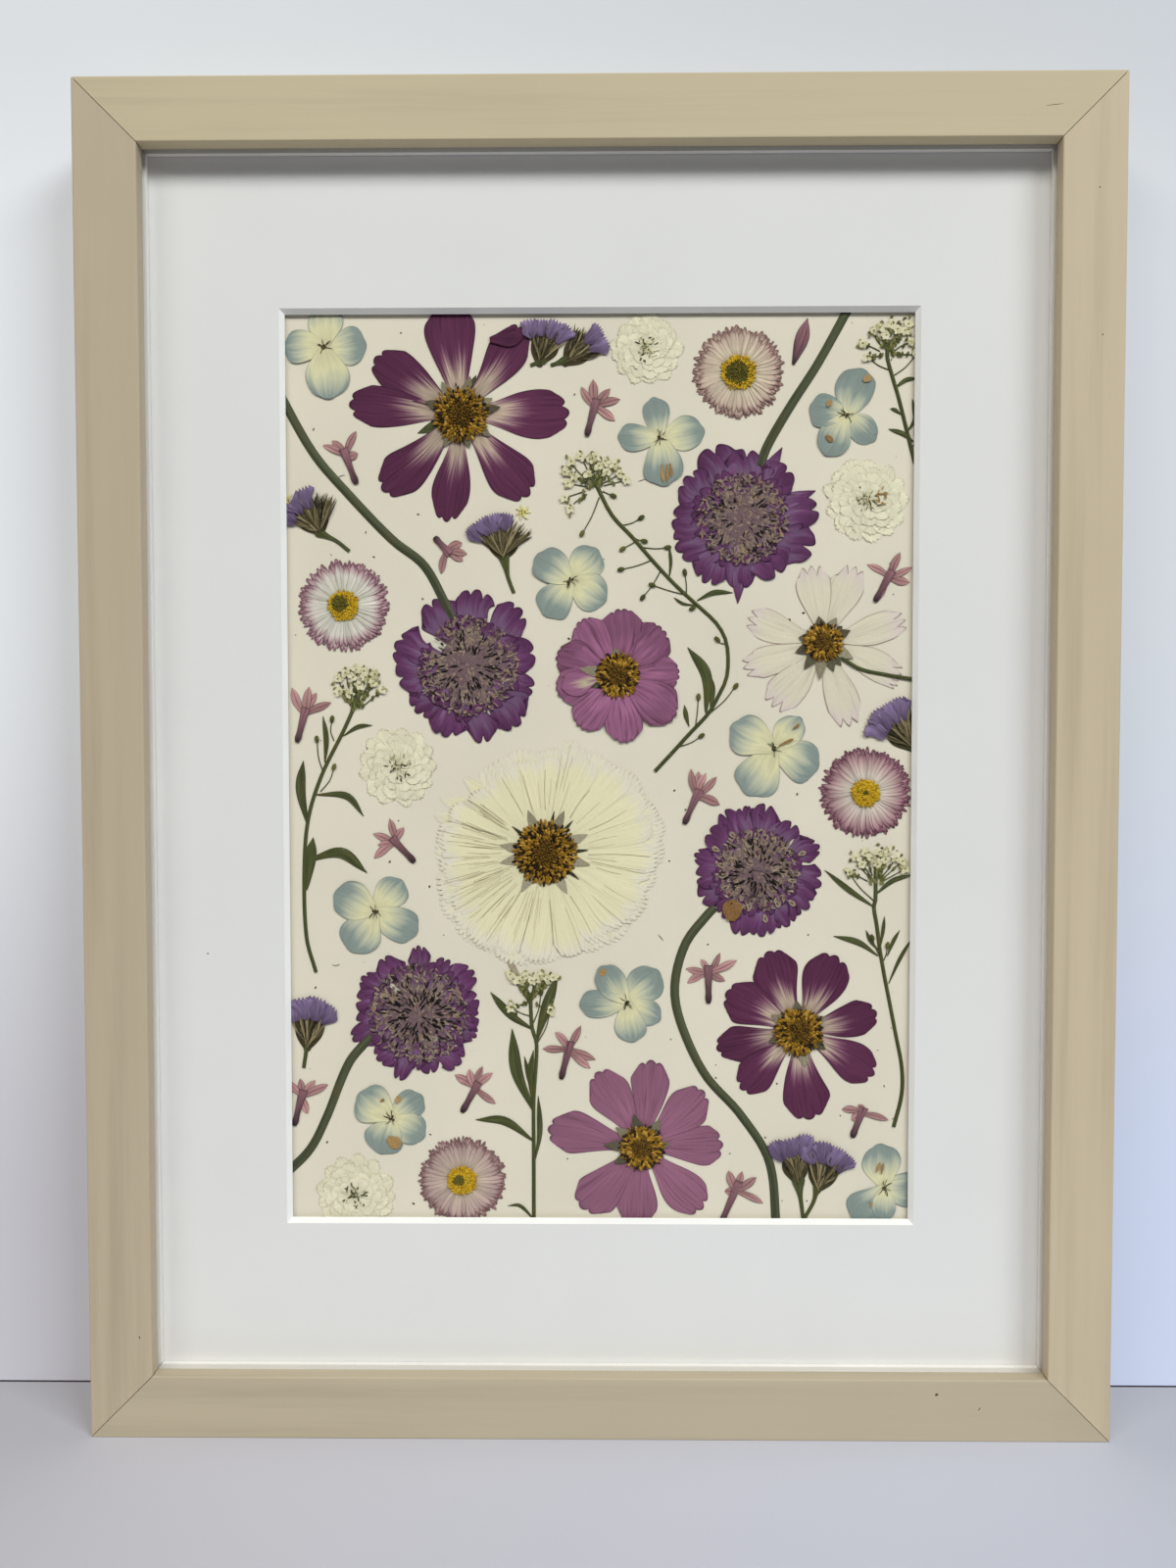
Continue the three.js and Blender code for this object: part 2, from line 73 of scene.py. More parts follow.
MM = 0.001
CAD_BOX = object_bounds()
SHEET_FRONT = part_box("mounting_sheet")[0].y  # metres; the paper's front face
WINDOW_X = 0.4 * MM
WINDOW_Z = (CAD_BOX[0].z + CAD_BOX[1].z) / 2 - 0.8 * MM
ON_SHEET = Matrix.Translation((WINDOW_X, SHEET_FRONT, WINDOW_Z)) @ Matrix.Scale(MM, 4)
GOLDEN_ANGLE = 137.5
RELIEF = 0.2 * MM  # depth that a bump's full height stands for
LOWEST = 0.09  # millimetres; no flat part dips nearer to the paper than this


def rgb(red, green, blue):
    """Screen values from 0 to 255 as the linear colour that shaders take."""
    return tuple(((value / 255 + 0.055) / 1.055) ** 2.4 for value in (red, green, blue))


def shaded(colour, factor):
    """A colour made darker or paler."""
    return tuple(min(channel * factor, 1.0) for channel in colour)


def tints(colour, *stops):
    """A run through shades of one colour, from (position, factor) stops."""
    return [(position, shaded(colour, factor)) for position, factor in stops]


def grades(*stops):
    """A run of colours, from (position, red, green, blue) stops."""
    return [(position, rgb(*screen)) for position, *screen in stops]


# ---------------------------------------------------------------- settings
def colour_setting(name, description, red, green, blue):
    """A colour property, with its default in screen values."""
    return bpy.props.FloatVectorProperty(
        name=name, description=description, subtype="COLOR", size=3, min=0.0, max=1.0,
        default=rgb(red, green, blue))


def length_setting(name, description, millimetres):
    """A length property, with its default in millimetres."""
    return bpy.props.FloatProperty(
        name=name, description=description, subtype="DISTANCE", unit="LENGTH", min=0.0,
        default=millimetres * MM)


class FrameSettings(bpy.types.PropertyGroup):
    """Colours and sizes of the frame round the flowers."""

    wood: colour_setting("Wood", "Main colour of the bare wooden moulding", 199, 188, 158)
    wood_grain: colour_setting("Wood grain", "Colour of the darker grain lines", 184, 173, 144)
    mat: colour_setting("Mat", "Face of the mat board", 233, 232, 230)
    paper: colour_setting("Paper", "Sheet that the flowers lie on", 231, 223, 203)
    spacer: colour_setting("Spacer", "Card strips between glass and mat", 246, 242, 236)
    hardboard: colour_setting("Hardboard", "Backing board", 138, 104, 72)
    steel: colour_setting("Steel", "Hanger and retaining tabs", 190, 190, 186)
    easing: length_setting("Edge easing", "How far the wood's long edges are sanded back", 0.45)


class FlowerSettings(bpy.types.PropertyGroup):
    """Colours and sizes of the pressed flowers."""

    purple: colour_setting("Purple petal", "Body of the dark cosmos petals", 94, 50, 76)
    throat: colour_setting("Petal throat", "Pale streaked foot of the dark cosmos petals", 190, 170, 150)
    mauve: colour_setting("Mauve petal", "Petals of the mauve cosmos", 142, 96, 118)
    pink: colour_setting("Pink petal", "Petals of the pink cosmos", 136, 88, 116)
    ivory: colour_setting("Ivory petal", "Petals of the white cosmos", 222, 214, 190)
    cream: colour_setting("Cream petal", "Petals of the large cream flower", 235, 228, 189)
    violet: colour_setting("Scabiosa petal", "Outer florets of the scabiosas", 102, 60, 97)
    blue: colour_setting("Hydrangea blue", "Outer part of the hydrangea sepals", 142, 155, 148)
    butter: colour_setting("Hydrangea cream", "Middle of the hydrangea florets", 224, 219, 176)
    lavender: colour_setting("Statice petal", "Papery statice petals", 114, 97, 127)
    blush: colour_setting("Floret lobe", "Lobes of the small tubular florets", 176, 134, 132)
    double_white: colour_setting("White double", "Petals of the small double flowers", 227, 222, 194)
    leaf: colour_setting("Leaf", "Dried leaves and sprig stems", 78, 83, 50)
    stem: colour_setting("Stem", "Thick scabiosa stems", 78, 82, 60)
    petal_thickness: length_setting("Petal thickness", "Thickness of a pressed petal", 0.07)
    stem_width: length_setting("Stem width", "Width of the scabiosa stems", 2.9)
    specks: bpy.props.IntProperty(
        name="Specks", description="Number of crumbs scattered on the paper", default=70, min=0)


class StageSettings(bpy.types.PropertyGroup):
    """Light and camera."""

    key_power: bpy.props.FloatProperty(
        name="Key light", description="Power of the wide light above the front", unit="POWER", default=42.0)
    left_power: bpy.props.FloatProperty(
        name="Left light", description="Power of the warm light on the left", unit="POWER", default=24.0)
    right_power: bpy.props.FloatProperty(
        name="Right light", description="Power of the cool light on the right", unit="POWER", default=49.0)
    ambient: bpy.props.FloatProperty(
        name="Ambient", description="Strength of the light from all round", default=0.15)
    lens: bpy.props.FloatProperty(
        name="Lens", description="Focal length of the camera", subtype="DISTANCE_CAMERA", default=27.045)


# ---------------------------------------------------------------- materials
class Finish:
    """Node work for one material: each method adds a node and returns the socket of its result."""

    def __init__(self, name, roughness=0.8, specular=0.25, metallic=0.0):
        self.material = bpy.data.materials.new(name)
        self.material.use_nodes = True
        self.tree = self.material.node_tree
        self.shader = next(node for node in self.tree.nodes if node.type == "BSDF_PRINCIPLED")
        self.shader.inputs["Roughness"].default_value = roughness
        self.shader.inputs["Specular IOR Level"].default_value = specular
        self.shader.inputs["Metallic"].default_value = metallic

    def feed(self, socket, value):
        """Links a socket to a result, or sets it to a number, a colour or a vector."""
        if isinstance(value, bpy.types.NodeSocket):
            self.tree.links.new(value, socket)
        elif value is not None:
            wide = hasattr(socket.default_value, "__len__") and len(socket.default_value) == 4
            socket.default_value = (*value, 1.0) if wide and len(value) == 3 else value

    def node(self, kind, *values, **choices):
        """A new node with its settings chosen and its inputs fed in order; None leaves an input as it is."""
        node = self.tree.nodes.new("ShaderNode" + kind)
        for name, value in choices.items():
            setattr(node, name, value)
        for socket, value in zip(node.inputs, values):
            self.feed(socket, value)
        return node

    def math(self, operation, first, second=None, third=None):
        return self.node("Math", first, second, third, operation=operation).outputs[0]

    def times(self, first, second):
        return self.math("MULTIPLY", first, second)

    def times_plus(self, first, second, third):
        return self.math("MULTIPLY_ADD", first, second, third)

    def centred(self, value):
        """Half less, so that a value from 0 to 1 lies round 0."""
        return self.math("SUBTRACT", value, 0.5)

    def rise(self, value, low, high):
        """0 below low, 1 above high, and smooth between."""
        return self.node("MapRange", value, low, high, 0.0, 1.0, interpolation_type="SMOOTHSTEP").outputs[0]

    def combine(self, x, y, z):
        return self.node("CombineXYZ", x, y, z).outputs[0]

    def noise(self, vector, scale=1.0, detail=2.0, roughness=0.5):
        return self.node("TexNoise", vector, None, scale, detail, roughness).outputs[0]

    def ramp(self, value, stops):
        node = self.node("ValToRGB", value)
        elements = node.color_ramp.elements
        for _ in range(len(stops) - 2):
            elements.new(0.5)
        for element, (position, colour) in zip(elements, stops):
            element.position = position
            element.color = (*colour, 1.0)
        return node.outputs[0]

    def mix(self, factor, first, second, blend="MIX"):
        node = self.node("Mix", factor, data_type="RGBA", blend_type=blend)
        self.feed(node.inputs[6], first)
        self.feed(node.inputs[7], second)
        return node.outputs[2]

    def lay(self, colour, over, value, low, high, amount, blend="MIX"):
        """Lays a second colour over the first, by amount, where value has risen from low to high."""
        return self.mix(self.times(self.rise(value, low, high), amount), colour, over, blend)

    def brightness(self, colour, value):
        return self.node("HueSaturation", None, None, value, None, colour).outputs[0]

    def petal_place(self):
        """Place on a flat part: across from 0 to 1, along from foot to tip, and out from middle to side."""
        spot = self.node("UVMap", uv_map="petal").outputs[0]
        across, along, _ = self.node("SeparateXYZ", spot).outputs
        return across, along, self.math("ABSOLUTE", self.times_plus(across, 2.0, -1.0))

    def tone(self):
        return self.node("Attribute", attribute_name="tone", attribute_type="GEOMETRY").outputs["Fac"]

    def object_place(self):
        return self.node("TexCoord").outputs["Object"]

    def stretched(self, scale, factor=1.0):
        """Object coordinates stretched by a scale for each axis, all of them times the factor."""
        node = self.node("Mapping", self.object_place())
        node.inputs["Scale"].default_value = [factor * value for value in scale]
        return node.outputs[0]

    def paint(self, colour):
        self.feed(self.shader.inputs["Base Color"], colour)

    def roughen(self, value):
        self.feed(self.shader.inputs["Roughness"], value)

    def bump(self, height, strength, distance=RELIEF):
        node = self.tree.nodes.new("ShaderNodeBump")
        node.inputs["Strength"].default_value = strength
        node.inputs["Distance"].default_value = distance
        self.feed(node.inputs["Height"], height)
        self.feed(self.shader.inputs["Normal"], node.outputs[0])

    def clear_where(self, amount):
        """Lets light straight through where amount is 1."""
        clear = self.node("BsdfTransparent").outputs[0]
        blend = self.node("MixShader", amount, self.shader.outputs[0], clear).outputs[0]
        output = next(node for node in self.tree.nodes if node.type == "OUTPUT_MATERIAL")
        self.feed(output.inputs["Surface"], blend)


DARK_VEIN, PALE_VEIN_AND_SHEEN, DARK_MIDLINE = (0.42, 0.36, 0.33), (1.4, 1.33, 1.33), (0.4, 0.34, 0.36)


def petal_finish(name, stops, streak=0.2, flame=0.0, hollow=0.1, veins=0.3, vein_count=22, edge=None,
                 edge_amount=0.5, edge_width=0.12, tip_width=0.05, midline=0.0, tone_shift=0.0, shade=0.3):
    """A petal whose colour runs from foot to tip, with fine veins, pale streaks that are partly veins and
    partly painted sheen, and a darker rim.

    streak makes the run waver, flame breaks it into fine streaks, hollow carries the tip's colour down
    the sides and midline darkens the middle. tone_shift moves the run on each petal, and shade changes
    its brightness.
    """
    look = Finish(name, 0.7, 0.06)
    across, along, side = look.petal_place()
    tone = look.tone()
    own = look.times(tone, 61.0)  # takes each petal to a noise of its own
    streaks = look.noise(look.combine(look.times(across, 6.5), look.times(along, 0.9), own))
    spread = look.times_plus(look.centred(streaks), streak * 2.5, along)
    spread = look.times_plus(look.math("POWER", side, 2.0), hollow, spread)
    spread = look.times_plus(look.centred(tone), tone_shift, spread)
    vein_place = look.combine(look.times(across, float(vein_count)), look.times(along, 1.6), own)
    fine = look.noise(vein_place, detail=3.0)
    calmer = look.times(look.centred(fine), look.times_plus(along, -0.8, 1.0))  # towards the tip
    colour = look.ramp(look.times_plus(calmer, flame, spread), stops)
    colour = look.lay(colour, DARK_VEIN, fine, 0.52, 0.72, veins, "MULTIPLY")
    # pale streaks along the petal: partly real pale veins, partly painted sheen
    colour = look.lay(colour, PALE_VEIN_AND_SHEEN, fine, 0.5, 0.3, veins * 0.8, "MULTIPLY")
    if edge:
        rim = look.math("MAXIMUM", look.rise(side, 1 - edge_width, 1.0), look.rise(along, 1 - tip_width, 1.0))
        colour = look.mix(look.times(rim, edge_amount), colour, edge)
    if midline:
        colour = look.lay(colour, DARK_MIDLINE, side, 0.2, 0.02, midline, "MULTIPLY")
    look.paint(look.brightness(colour, look.times_plus(look.centred(tone), shade, 1.0)))
    crumple = look.noise(look.object_place(), 700.0)
    look.bump(look.times_plus(crumple, 0.8, fine), 0.5)
    return look.material


def tone_finish(name, stops, mottle=0.35):
    """Grains and shreds whose colour is picked by their tone, each a little mottled."""
    look = Finish(name, 0.75, 0.1)
    fleck = look.noise(look.object_place(), 1500.0, 3.0)
    look.paint(look.ramp(look.times_plus(look.centred(fleck), mottle, look.tone()), stops))
    look.bump(fleck, 0.3)
    return look.material


def green_finish(name, colour, ridges, pale=1.7):
    """Stems and leaves: lengthwise ridges, brownish patches and a darker rim."""
    look = Finish(name, 0.7, 0.1)
    across, along, side = look.petal_place()
    own = look.times(look.tone(), 43.0)
    ridge = look.noise(look.combine(look.times(across, ridges), look.times(along, 2.0), own))
    shade = look.ramp(ridge, tints(colour, (0.25, 0.55), (0.55, 1.0), (0.8, pale)))
    patch = look.noise(look.object_place(), 160.0, 3.0)
    brown = (colour[0] * 1.35, colour[1], colour[2] * 0.8)
    shade = look.lay(shade, brown, patch, 0.5, 0.75, 0.6)
    look.paint(look.lay(shade, shaded(colour, 0.5), side, 0.6, 1.0, 0.45))
    look.bump(ridge, 0.6, 1.5 * RELIEF)
    return look.material


def wood_finish(name, settings, upright, painted_light):
    """Pale close-grained wood with its grain along the rail or stile, tinted by the painted light or shade of
    its side.
    """
    look = Finish(name, specular=0.3)
    along_grain, across_grain = 5.0, 150.0
    first, last = (across_grain, along_grain) if upright else (along_grain, across_grain)
    scale = (first, across_grain, last)
    grain = look.noise(look.stretched(scale), 1.0, 4.0, 0.6)
    pores = look.noise(look.stretched(scale, 4.5), 1.0, 2.0, 0.6)
    broad = look.noise(look.stretched(scale, 0.22))
    blotch = look.noise(look.object_place(), 9.0, 3.0)
    wood, dark = settings.wood, settings.wood_grain
    colour = look.ramp(grain, [(0.25, dark), (0.5, wood), (0.75, shaded(wood, 1.04))])
    colour = look.lay(colour, shaded(wood, 0.93), broad, 0.35, 0.7, 0.45)
    colour = look.lay(colour, shaded(dark, 0.8), pores, 0.6, 0.8, 0.14)
    colour = look.lay(colour, shaded(dark, 0.95), blotch, 0.5, 0.8, 0.3)
    # painted light and shade: the colour is made lighter on the top rail and right stile, darker on the
    # bottom rail and left stile
    look.paint(look.mix(1.0, colour, painted_light, "MULTIPLY"))
    look.roughen(look.times_plus(grain, 0.2, 0.5))
    look.bump(look.times_plus(pores, 0.7, grain), 0.25)
    return look.material


def card_finish(name, colour, fibre=2600.0, mottle=0.05, cockle=0.0, core=None):
    """Paper or card: short fibres, faint clouding, a slow cockle on thin paper and a core on cut bevels."""
    look = Finish(name, 0.92, 0.15)
    fibres = look.noise(look.object_place(), fibre, 4.0, 0.65)
    clouds = look.noise(look.object_place(), 18.0, 3.0)
    shade = look.ramp(clouds, tints(colour, (0.3, 1 - mottle), (0.7, 1 + mottle * 0.4)))
    shade = look.lay(shade, shaded(colour, 0.85), fibres, 0.5, 0.8, 0.12)
    if core:
        _, facing, _ = look.node("SeparateXYZ", look.node("NewGeometry").outputs["Normal"]).outputs
        shade = look.mix(look.rise(look.math("ABSOLUTE", facing), 0.9, 0.8), shade, core)
    look.paint(shade)
    look.bump(look.times_plus(look.noise(look.object_place(), 30.0, 1.0), cockle, fibres), 0.15)
    return look.material


def hardboard_finish(colour):
    """Brown pressed fibre with faint clouds."""
    look = Finish("hardboard", 0.6, 0.3)
    fibres = look.noise(look.object_place(), 900.0, 5.0, 0.7)
    clouds = look.noise(look.object_place(), 25.0, 3.0)
    shade = look.ramp(fibres, tints(colour, (0.3, 0.7), (0.5, 1.0), (0.72, 1.25)))
    look.paint(look.mix(look.times(clouds, 0.35), shade, shaded(colour, 0.8)))
    look.bump(fibres, 0.3)
    return look.material


def steel_finish(colour):
    """Zinc-coated sheet steel, spangled and lightly brushed."""
    look = Finish("zinc_steel", specular=0.5, metallic=1.0)
    spangle = look.noise(look.object_place(), 350.0)
    brush = look.noise(look.stretched((300.0, 300.0, 6000.0)), 1.0, 3.0)
    look.paint(look.ramp(spangle, tints(colour, (0.35, 0.8), (0.65, 1.0))))
    look.roughen(look.times_plus(brush, 0.3, 0.22))
    look.bump(brush, 0.1, 0.5 * RELIEF)
    return look.material


def glass_finish():
    """Coated, nearly mirror-free glass that lets direct light through to the flowers behind it."""
    look = Finish("picture_glass", 0.0, 0.5)
    look.shader.inputs["Base Color"].default_value = (0.985, 0.995, 0.99, 1.0)
    look.shader.inputs["Transmission Weight"].default_value = 1.0
    look.shader.inputs["IOR"].default_value = 1.08
    look.clear_where(look.node("LightPath").outputs["Is Shadow Ray"])
    return look.material


# Colours by tone, from 0 to 1.
DISC_GOLD = grades((0.0, 26, 19, 12), (0.2, 74, 54, 24), (0.5, 114, 83, 26), (0.75, 156, 116, 34),
                   (1.0, 190, 150, 64))
DISC_DAISY = grades((0.0, 70, 54, 20), (0.3, 100, 96, 44), (0.5, 136, 116, 32), (0.75, 196, 154, 30),
                    (1.0, 226, 194, 62))
FRILL = grades((0.0, 22, 19, 17), (0.12, 52, 44, 40), (0.3, 106, 82, 92), (0.45, 126, 106, 102),
               (0.6, 138, 120, 108), (0.75, 160, 143, 122), (0.88, 146, 112, 86), (1.0, 190, 178, 154))
CALYX = grades((0.0, 28, 26, 18), (0.3, 64, 58, 38), (0.6, 104, 92, 64), (1.0, 152, 138, 104))
UMBEL = grades((0.0, 52, 56, 30), (0.3, 88, 90, 48), (0.55, 140, 136, 84), (0.7, 212, 205, 166),
               (1.0, 233, 227, 196))
CRUMB = grades((0.0, 30, 25, 22), (0.5, 88, 72, 56), (1.0, 176, 162, 136))
SEPAL = grades((0.0, 56, 52, 42), (0.4, 98, 92, 74), (0.75, 138, 130, 106), (1.0, 170, 162, 138))
BLEMISH = grades((0.0, 120, 84, 48), (0.5, 166, 132, 84), (1.0, 190, 164, 112))


# ---------------------------------------------------------------- shapes on the paper
def smooth(points, t):
    """Cubic curve through (position, value) points, read at t."""
    last = len(points) - 1
    i = next((k for k in range(last) if t <= points[k + 1][0]), last - 1)
    (x0, y0), (x1, y1) = points[i], points[i + 1]

    def slope(k):
        before, after = points[max(k - 1, 0)], points[min(k + 1, last)]
        return (after[1] - before[1]) / (after[0] - before[0])

    span = x1 - x0
    s = (t - x0) / span
    start = y0 * (1 + 2 * s) * (1 - s) ** 2 + span * slope(i) * s * (1 - s) ** 2
    return start + y1 * s * s * (3 - 2 * s) + span * slope(i + 1) * s * s * (s - 1)


def between(start, end, share):
    """The place at a share of the way; under 0 and over 1 lie beyond the ends."""
    return start[0] + share * (end[0] - start[0]), start[1] + share * (end[1] - start[1])


def polar(centre, angle, radius):
    """The place at a distance from the centre, in the direction of the angle."""
    turn = math.radians(angle)
    return centre[0] + radius * math.cos(turn), centre[1] + radius * math.sin(turn)


class Line:
    """A smooth line through places on the paper, read at a share of the way from 0 to 1."""

    def __init__(self, points):
        travelled = [0.0]
        for a, b in zip(points, points[1:]):
            travelled.append(travelled[-1] + math.dist(a, b))
        self.length = travelled[-1]
        self.xs = [(s / self.length, x) for s, (x, _) in zip(travelled, points)]
        self.zs = [(s / self.length, z) for s, (_, z) in zip(travelled, points)]

    def at(self, share):
        """The place (x, z) at a share of the way."""
        return smooth(self.xs, share), smooth(self.zs, share)

    def right(self, share):
        """Unit step to the right of the way."""
        ahead, behind = self.at(min(share + 0.01, 1.0)), self.at(max(share - 0.01, 0.0))
        dx, dz = ahead[0] - behind[0], ahead[1] - behind[1]
        size = math.hypot(dx, dz)
        return dz / size, -dx / size


@dataclass
class Form:
    """Outline of a flat part.

    profile is a list of (share of the way, share of the half width), and across and along count the faces.
    """

    profile: list
    across: int = 6
    along: int = 8
    roundness: float = 0.1  # how far the tip's corners fall back, as a share of the length
    teeth: int = 0  # lobes across the tip
    tooth_depth: float = 0.0  # as a share of the length
    tooth_edge: float = 1.5  # 1 is a saw tooth, more is a round lobe
    ripple: float = 0.04  # height of the slow waves in the surface, in millimetres
    waver: float = 0.04  # how far the sides wander, as a share of the half width

    def fall(self, u):
        """How far the tip falls back at a place across, as a share of the length."""
        cut = self.roundness * abs(u) ** 2.2
        if self.teeth:
            phase = (u + 1) / 2 * self.teeth % 1.0
            cut += self.tooth_depth * abs(2 * phase - 1) ** self.tooth_edge
        return cut


COSMOS_PETAL = Form([(0, 0.17), (0.25, 0.5), (0.5, 0.84), (0.7, 1.0), (0.86, 0.99), (0.95, 0.91), (1, 0.82)],
                    24, 22, roundness=0.12, teeth=3, tooth_depth=0.05, tooth_edge=2.2, ripple=0.07)
BROAD_PETAL = Form([(0, 0.2), (0.25, 0.56), (0.5, 0.86), (0.75, 1.0), (0.9, 0.93), (1, 0.68)], 20, 18,
                   roundness=0.11, teeth=4, tooth_depth=0.04, tooth_edge=2.4, ripple=0.08)
TOOTHED_PETAL = Form([(0, 0.14), (0.3, 0.62), (0.55, 0.96), (0.78, 1.0), (0.92, 0.9), (1, 0.74)], 24, 20,
                     roundness=0.05, teeth=3, tooth_depth=0.12, tooth_edge=1.4, ripple=0.07)
FRINGED_PETAL = Form([(0, 0.16), (0.4, 0.55), (0.75, 0.92), (0.92, 1.0), (1, 0.86)], 18, 11,
                     roundness=0.05, teeth=6, tooth_depth=0.045, tooth_edge=2.6, ripple=0.05)
STRAP_PETAL = Form([(0, 0.35), (0.4, 0.8), (0.8, 1.0), (1, 0.5)], 6, 14, roundness=0.05, ripple=0.05)
SEPAL_FORM = Form([(0, 0.14), (0.2, 0.52), (0.45, 0.9), (0.65, 1.0), (0.85, 0.86), (0.96, 0.56), (1, 0.34)],
                  14, 14, roundness=0.05, ripple=0.08, waver=0.05)
POINTED = Form([(0, 0.9), (0.35, 1.0), (0.7, 0.6), (1, 0.05)], 4, 6, roundness=0.0, ripple=0.03)
FLORET_PETAL = Form([(0, 0.3), (0.35, 0.66), (0.7, 0.94), (0.88, 1.0), (1, 0.9)], 24, 9,
                    roundness=0.2, teeth=3, tooth_depth=0.14, tooth_edge=3.0, ripple=0.22, waver=0.12)
BROAD_FLORET = Form([(0, 0.3), (0.35, 0.66), (0.7, 0.94), (0.9, 1.0), (1, 0.92)], 24, 9,
                    roundness=0.24, teeth=2, tooth_depth=0.2, tooth_edge=4.0, ripple=0.22, waver=0.16)
FRILL_PETAL = Form([(0, 0.3), (0.4, 0.7), (0.8, 1.0), (1, 0.8)], 9, 5,
                   roundness=0.1, teeth=3, tooth_depth=0.2, tooth_edge=2.6, ripple=0.12, waver=0.08)
PAPERY_PETAL = Form([(0, 0.35), (0.35, 0.75), (0.7, 1.0), (0.92, 1.0), (1, 0.9)], 20, 12,
                    roundness=0.08, teeth=5, tooth_depth=0.15, tooth_edge=1.0, ripple=0.24, waver=0.14)
DAISY_PETAL = Form([(0, 0.45), (0.5, 0.85), (0.8, 1.0), (1, 0.42)], 4, 6,
                   roundness=0.03, ripple=0.06, waver=0.12)
CRUMPLED_PETAL = Form([(0, 0.35), (0.35, 0.75), (0.7, 1.0), (0.92, 0.9), (1, 0.66)], 12, 9,
                      roundness=0.14, teeth=4, tooth_depth=0.05, tooth_edge=2.0, ripple=0.12, waver=0.08)
LOBE_FORM = Form([(0, 0.4), (0.35, 0.8), (0.62, 1.0), (0.86, 0.7), (1, 0.14)], 6, 10,
                 roundness=0.03, ripple=0.08)
TUBE_FORM = Form([(0, 0.45), (0.12, 0.75), (0.3, 0.62), (0.7, 0.8), (1, 1.0)], 6, 12, roundness=0.0)
WEDGE_FORM = Form([(0, 0.7), (0.15, 1.0), (0.5, 0.62), (0.8, 0.36), (1, 0.26)], 6, 10,
                  roundness=0.0, ripple=0.05)
LEAF_FORM = Form([(0, 0.22), (0.2, 0.6), (0.5, 1.0), (0.75, 0.85), (1, 0.06)], 6, 14,
                 roundness=0.0, ripple=0.08)
STEM_FORM = Form([(0, 1.0), (0.5, 0.96), (1, 1.0)], 6, 40, roundness=0.0, ripple=0.02, waver=0.02)
THREAD_FORM = Form([(0, 1.0), (0.5, 0.85), (1, 0.8)], 2, 8, roundness=0.0, ripple=0.02, waver=0.02)
BRISTLE_FORM = Form([(0, 0.5), (0.5, 1.0), (0.85, 0.8), (1, 0.15)], 2, 5, roundness=0.0, ripple=0.05)
SHRED_FORM = Form([(0, 0.4), (0.5, 1.0), (1, 0.35)], 2, 3, roundness=0.0, ripple=0.05, waver=0.1)


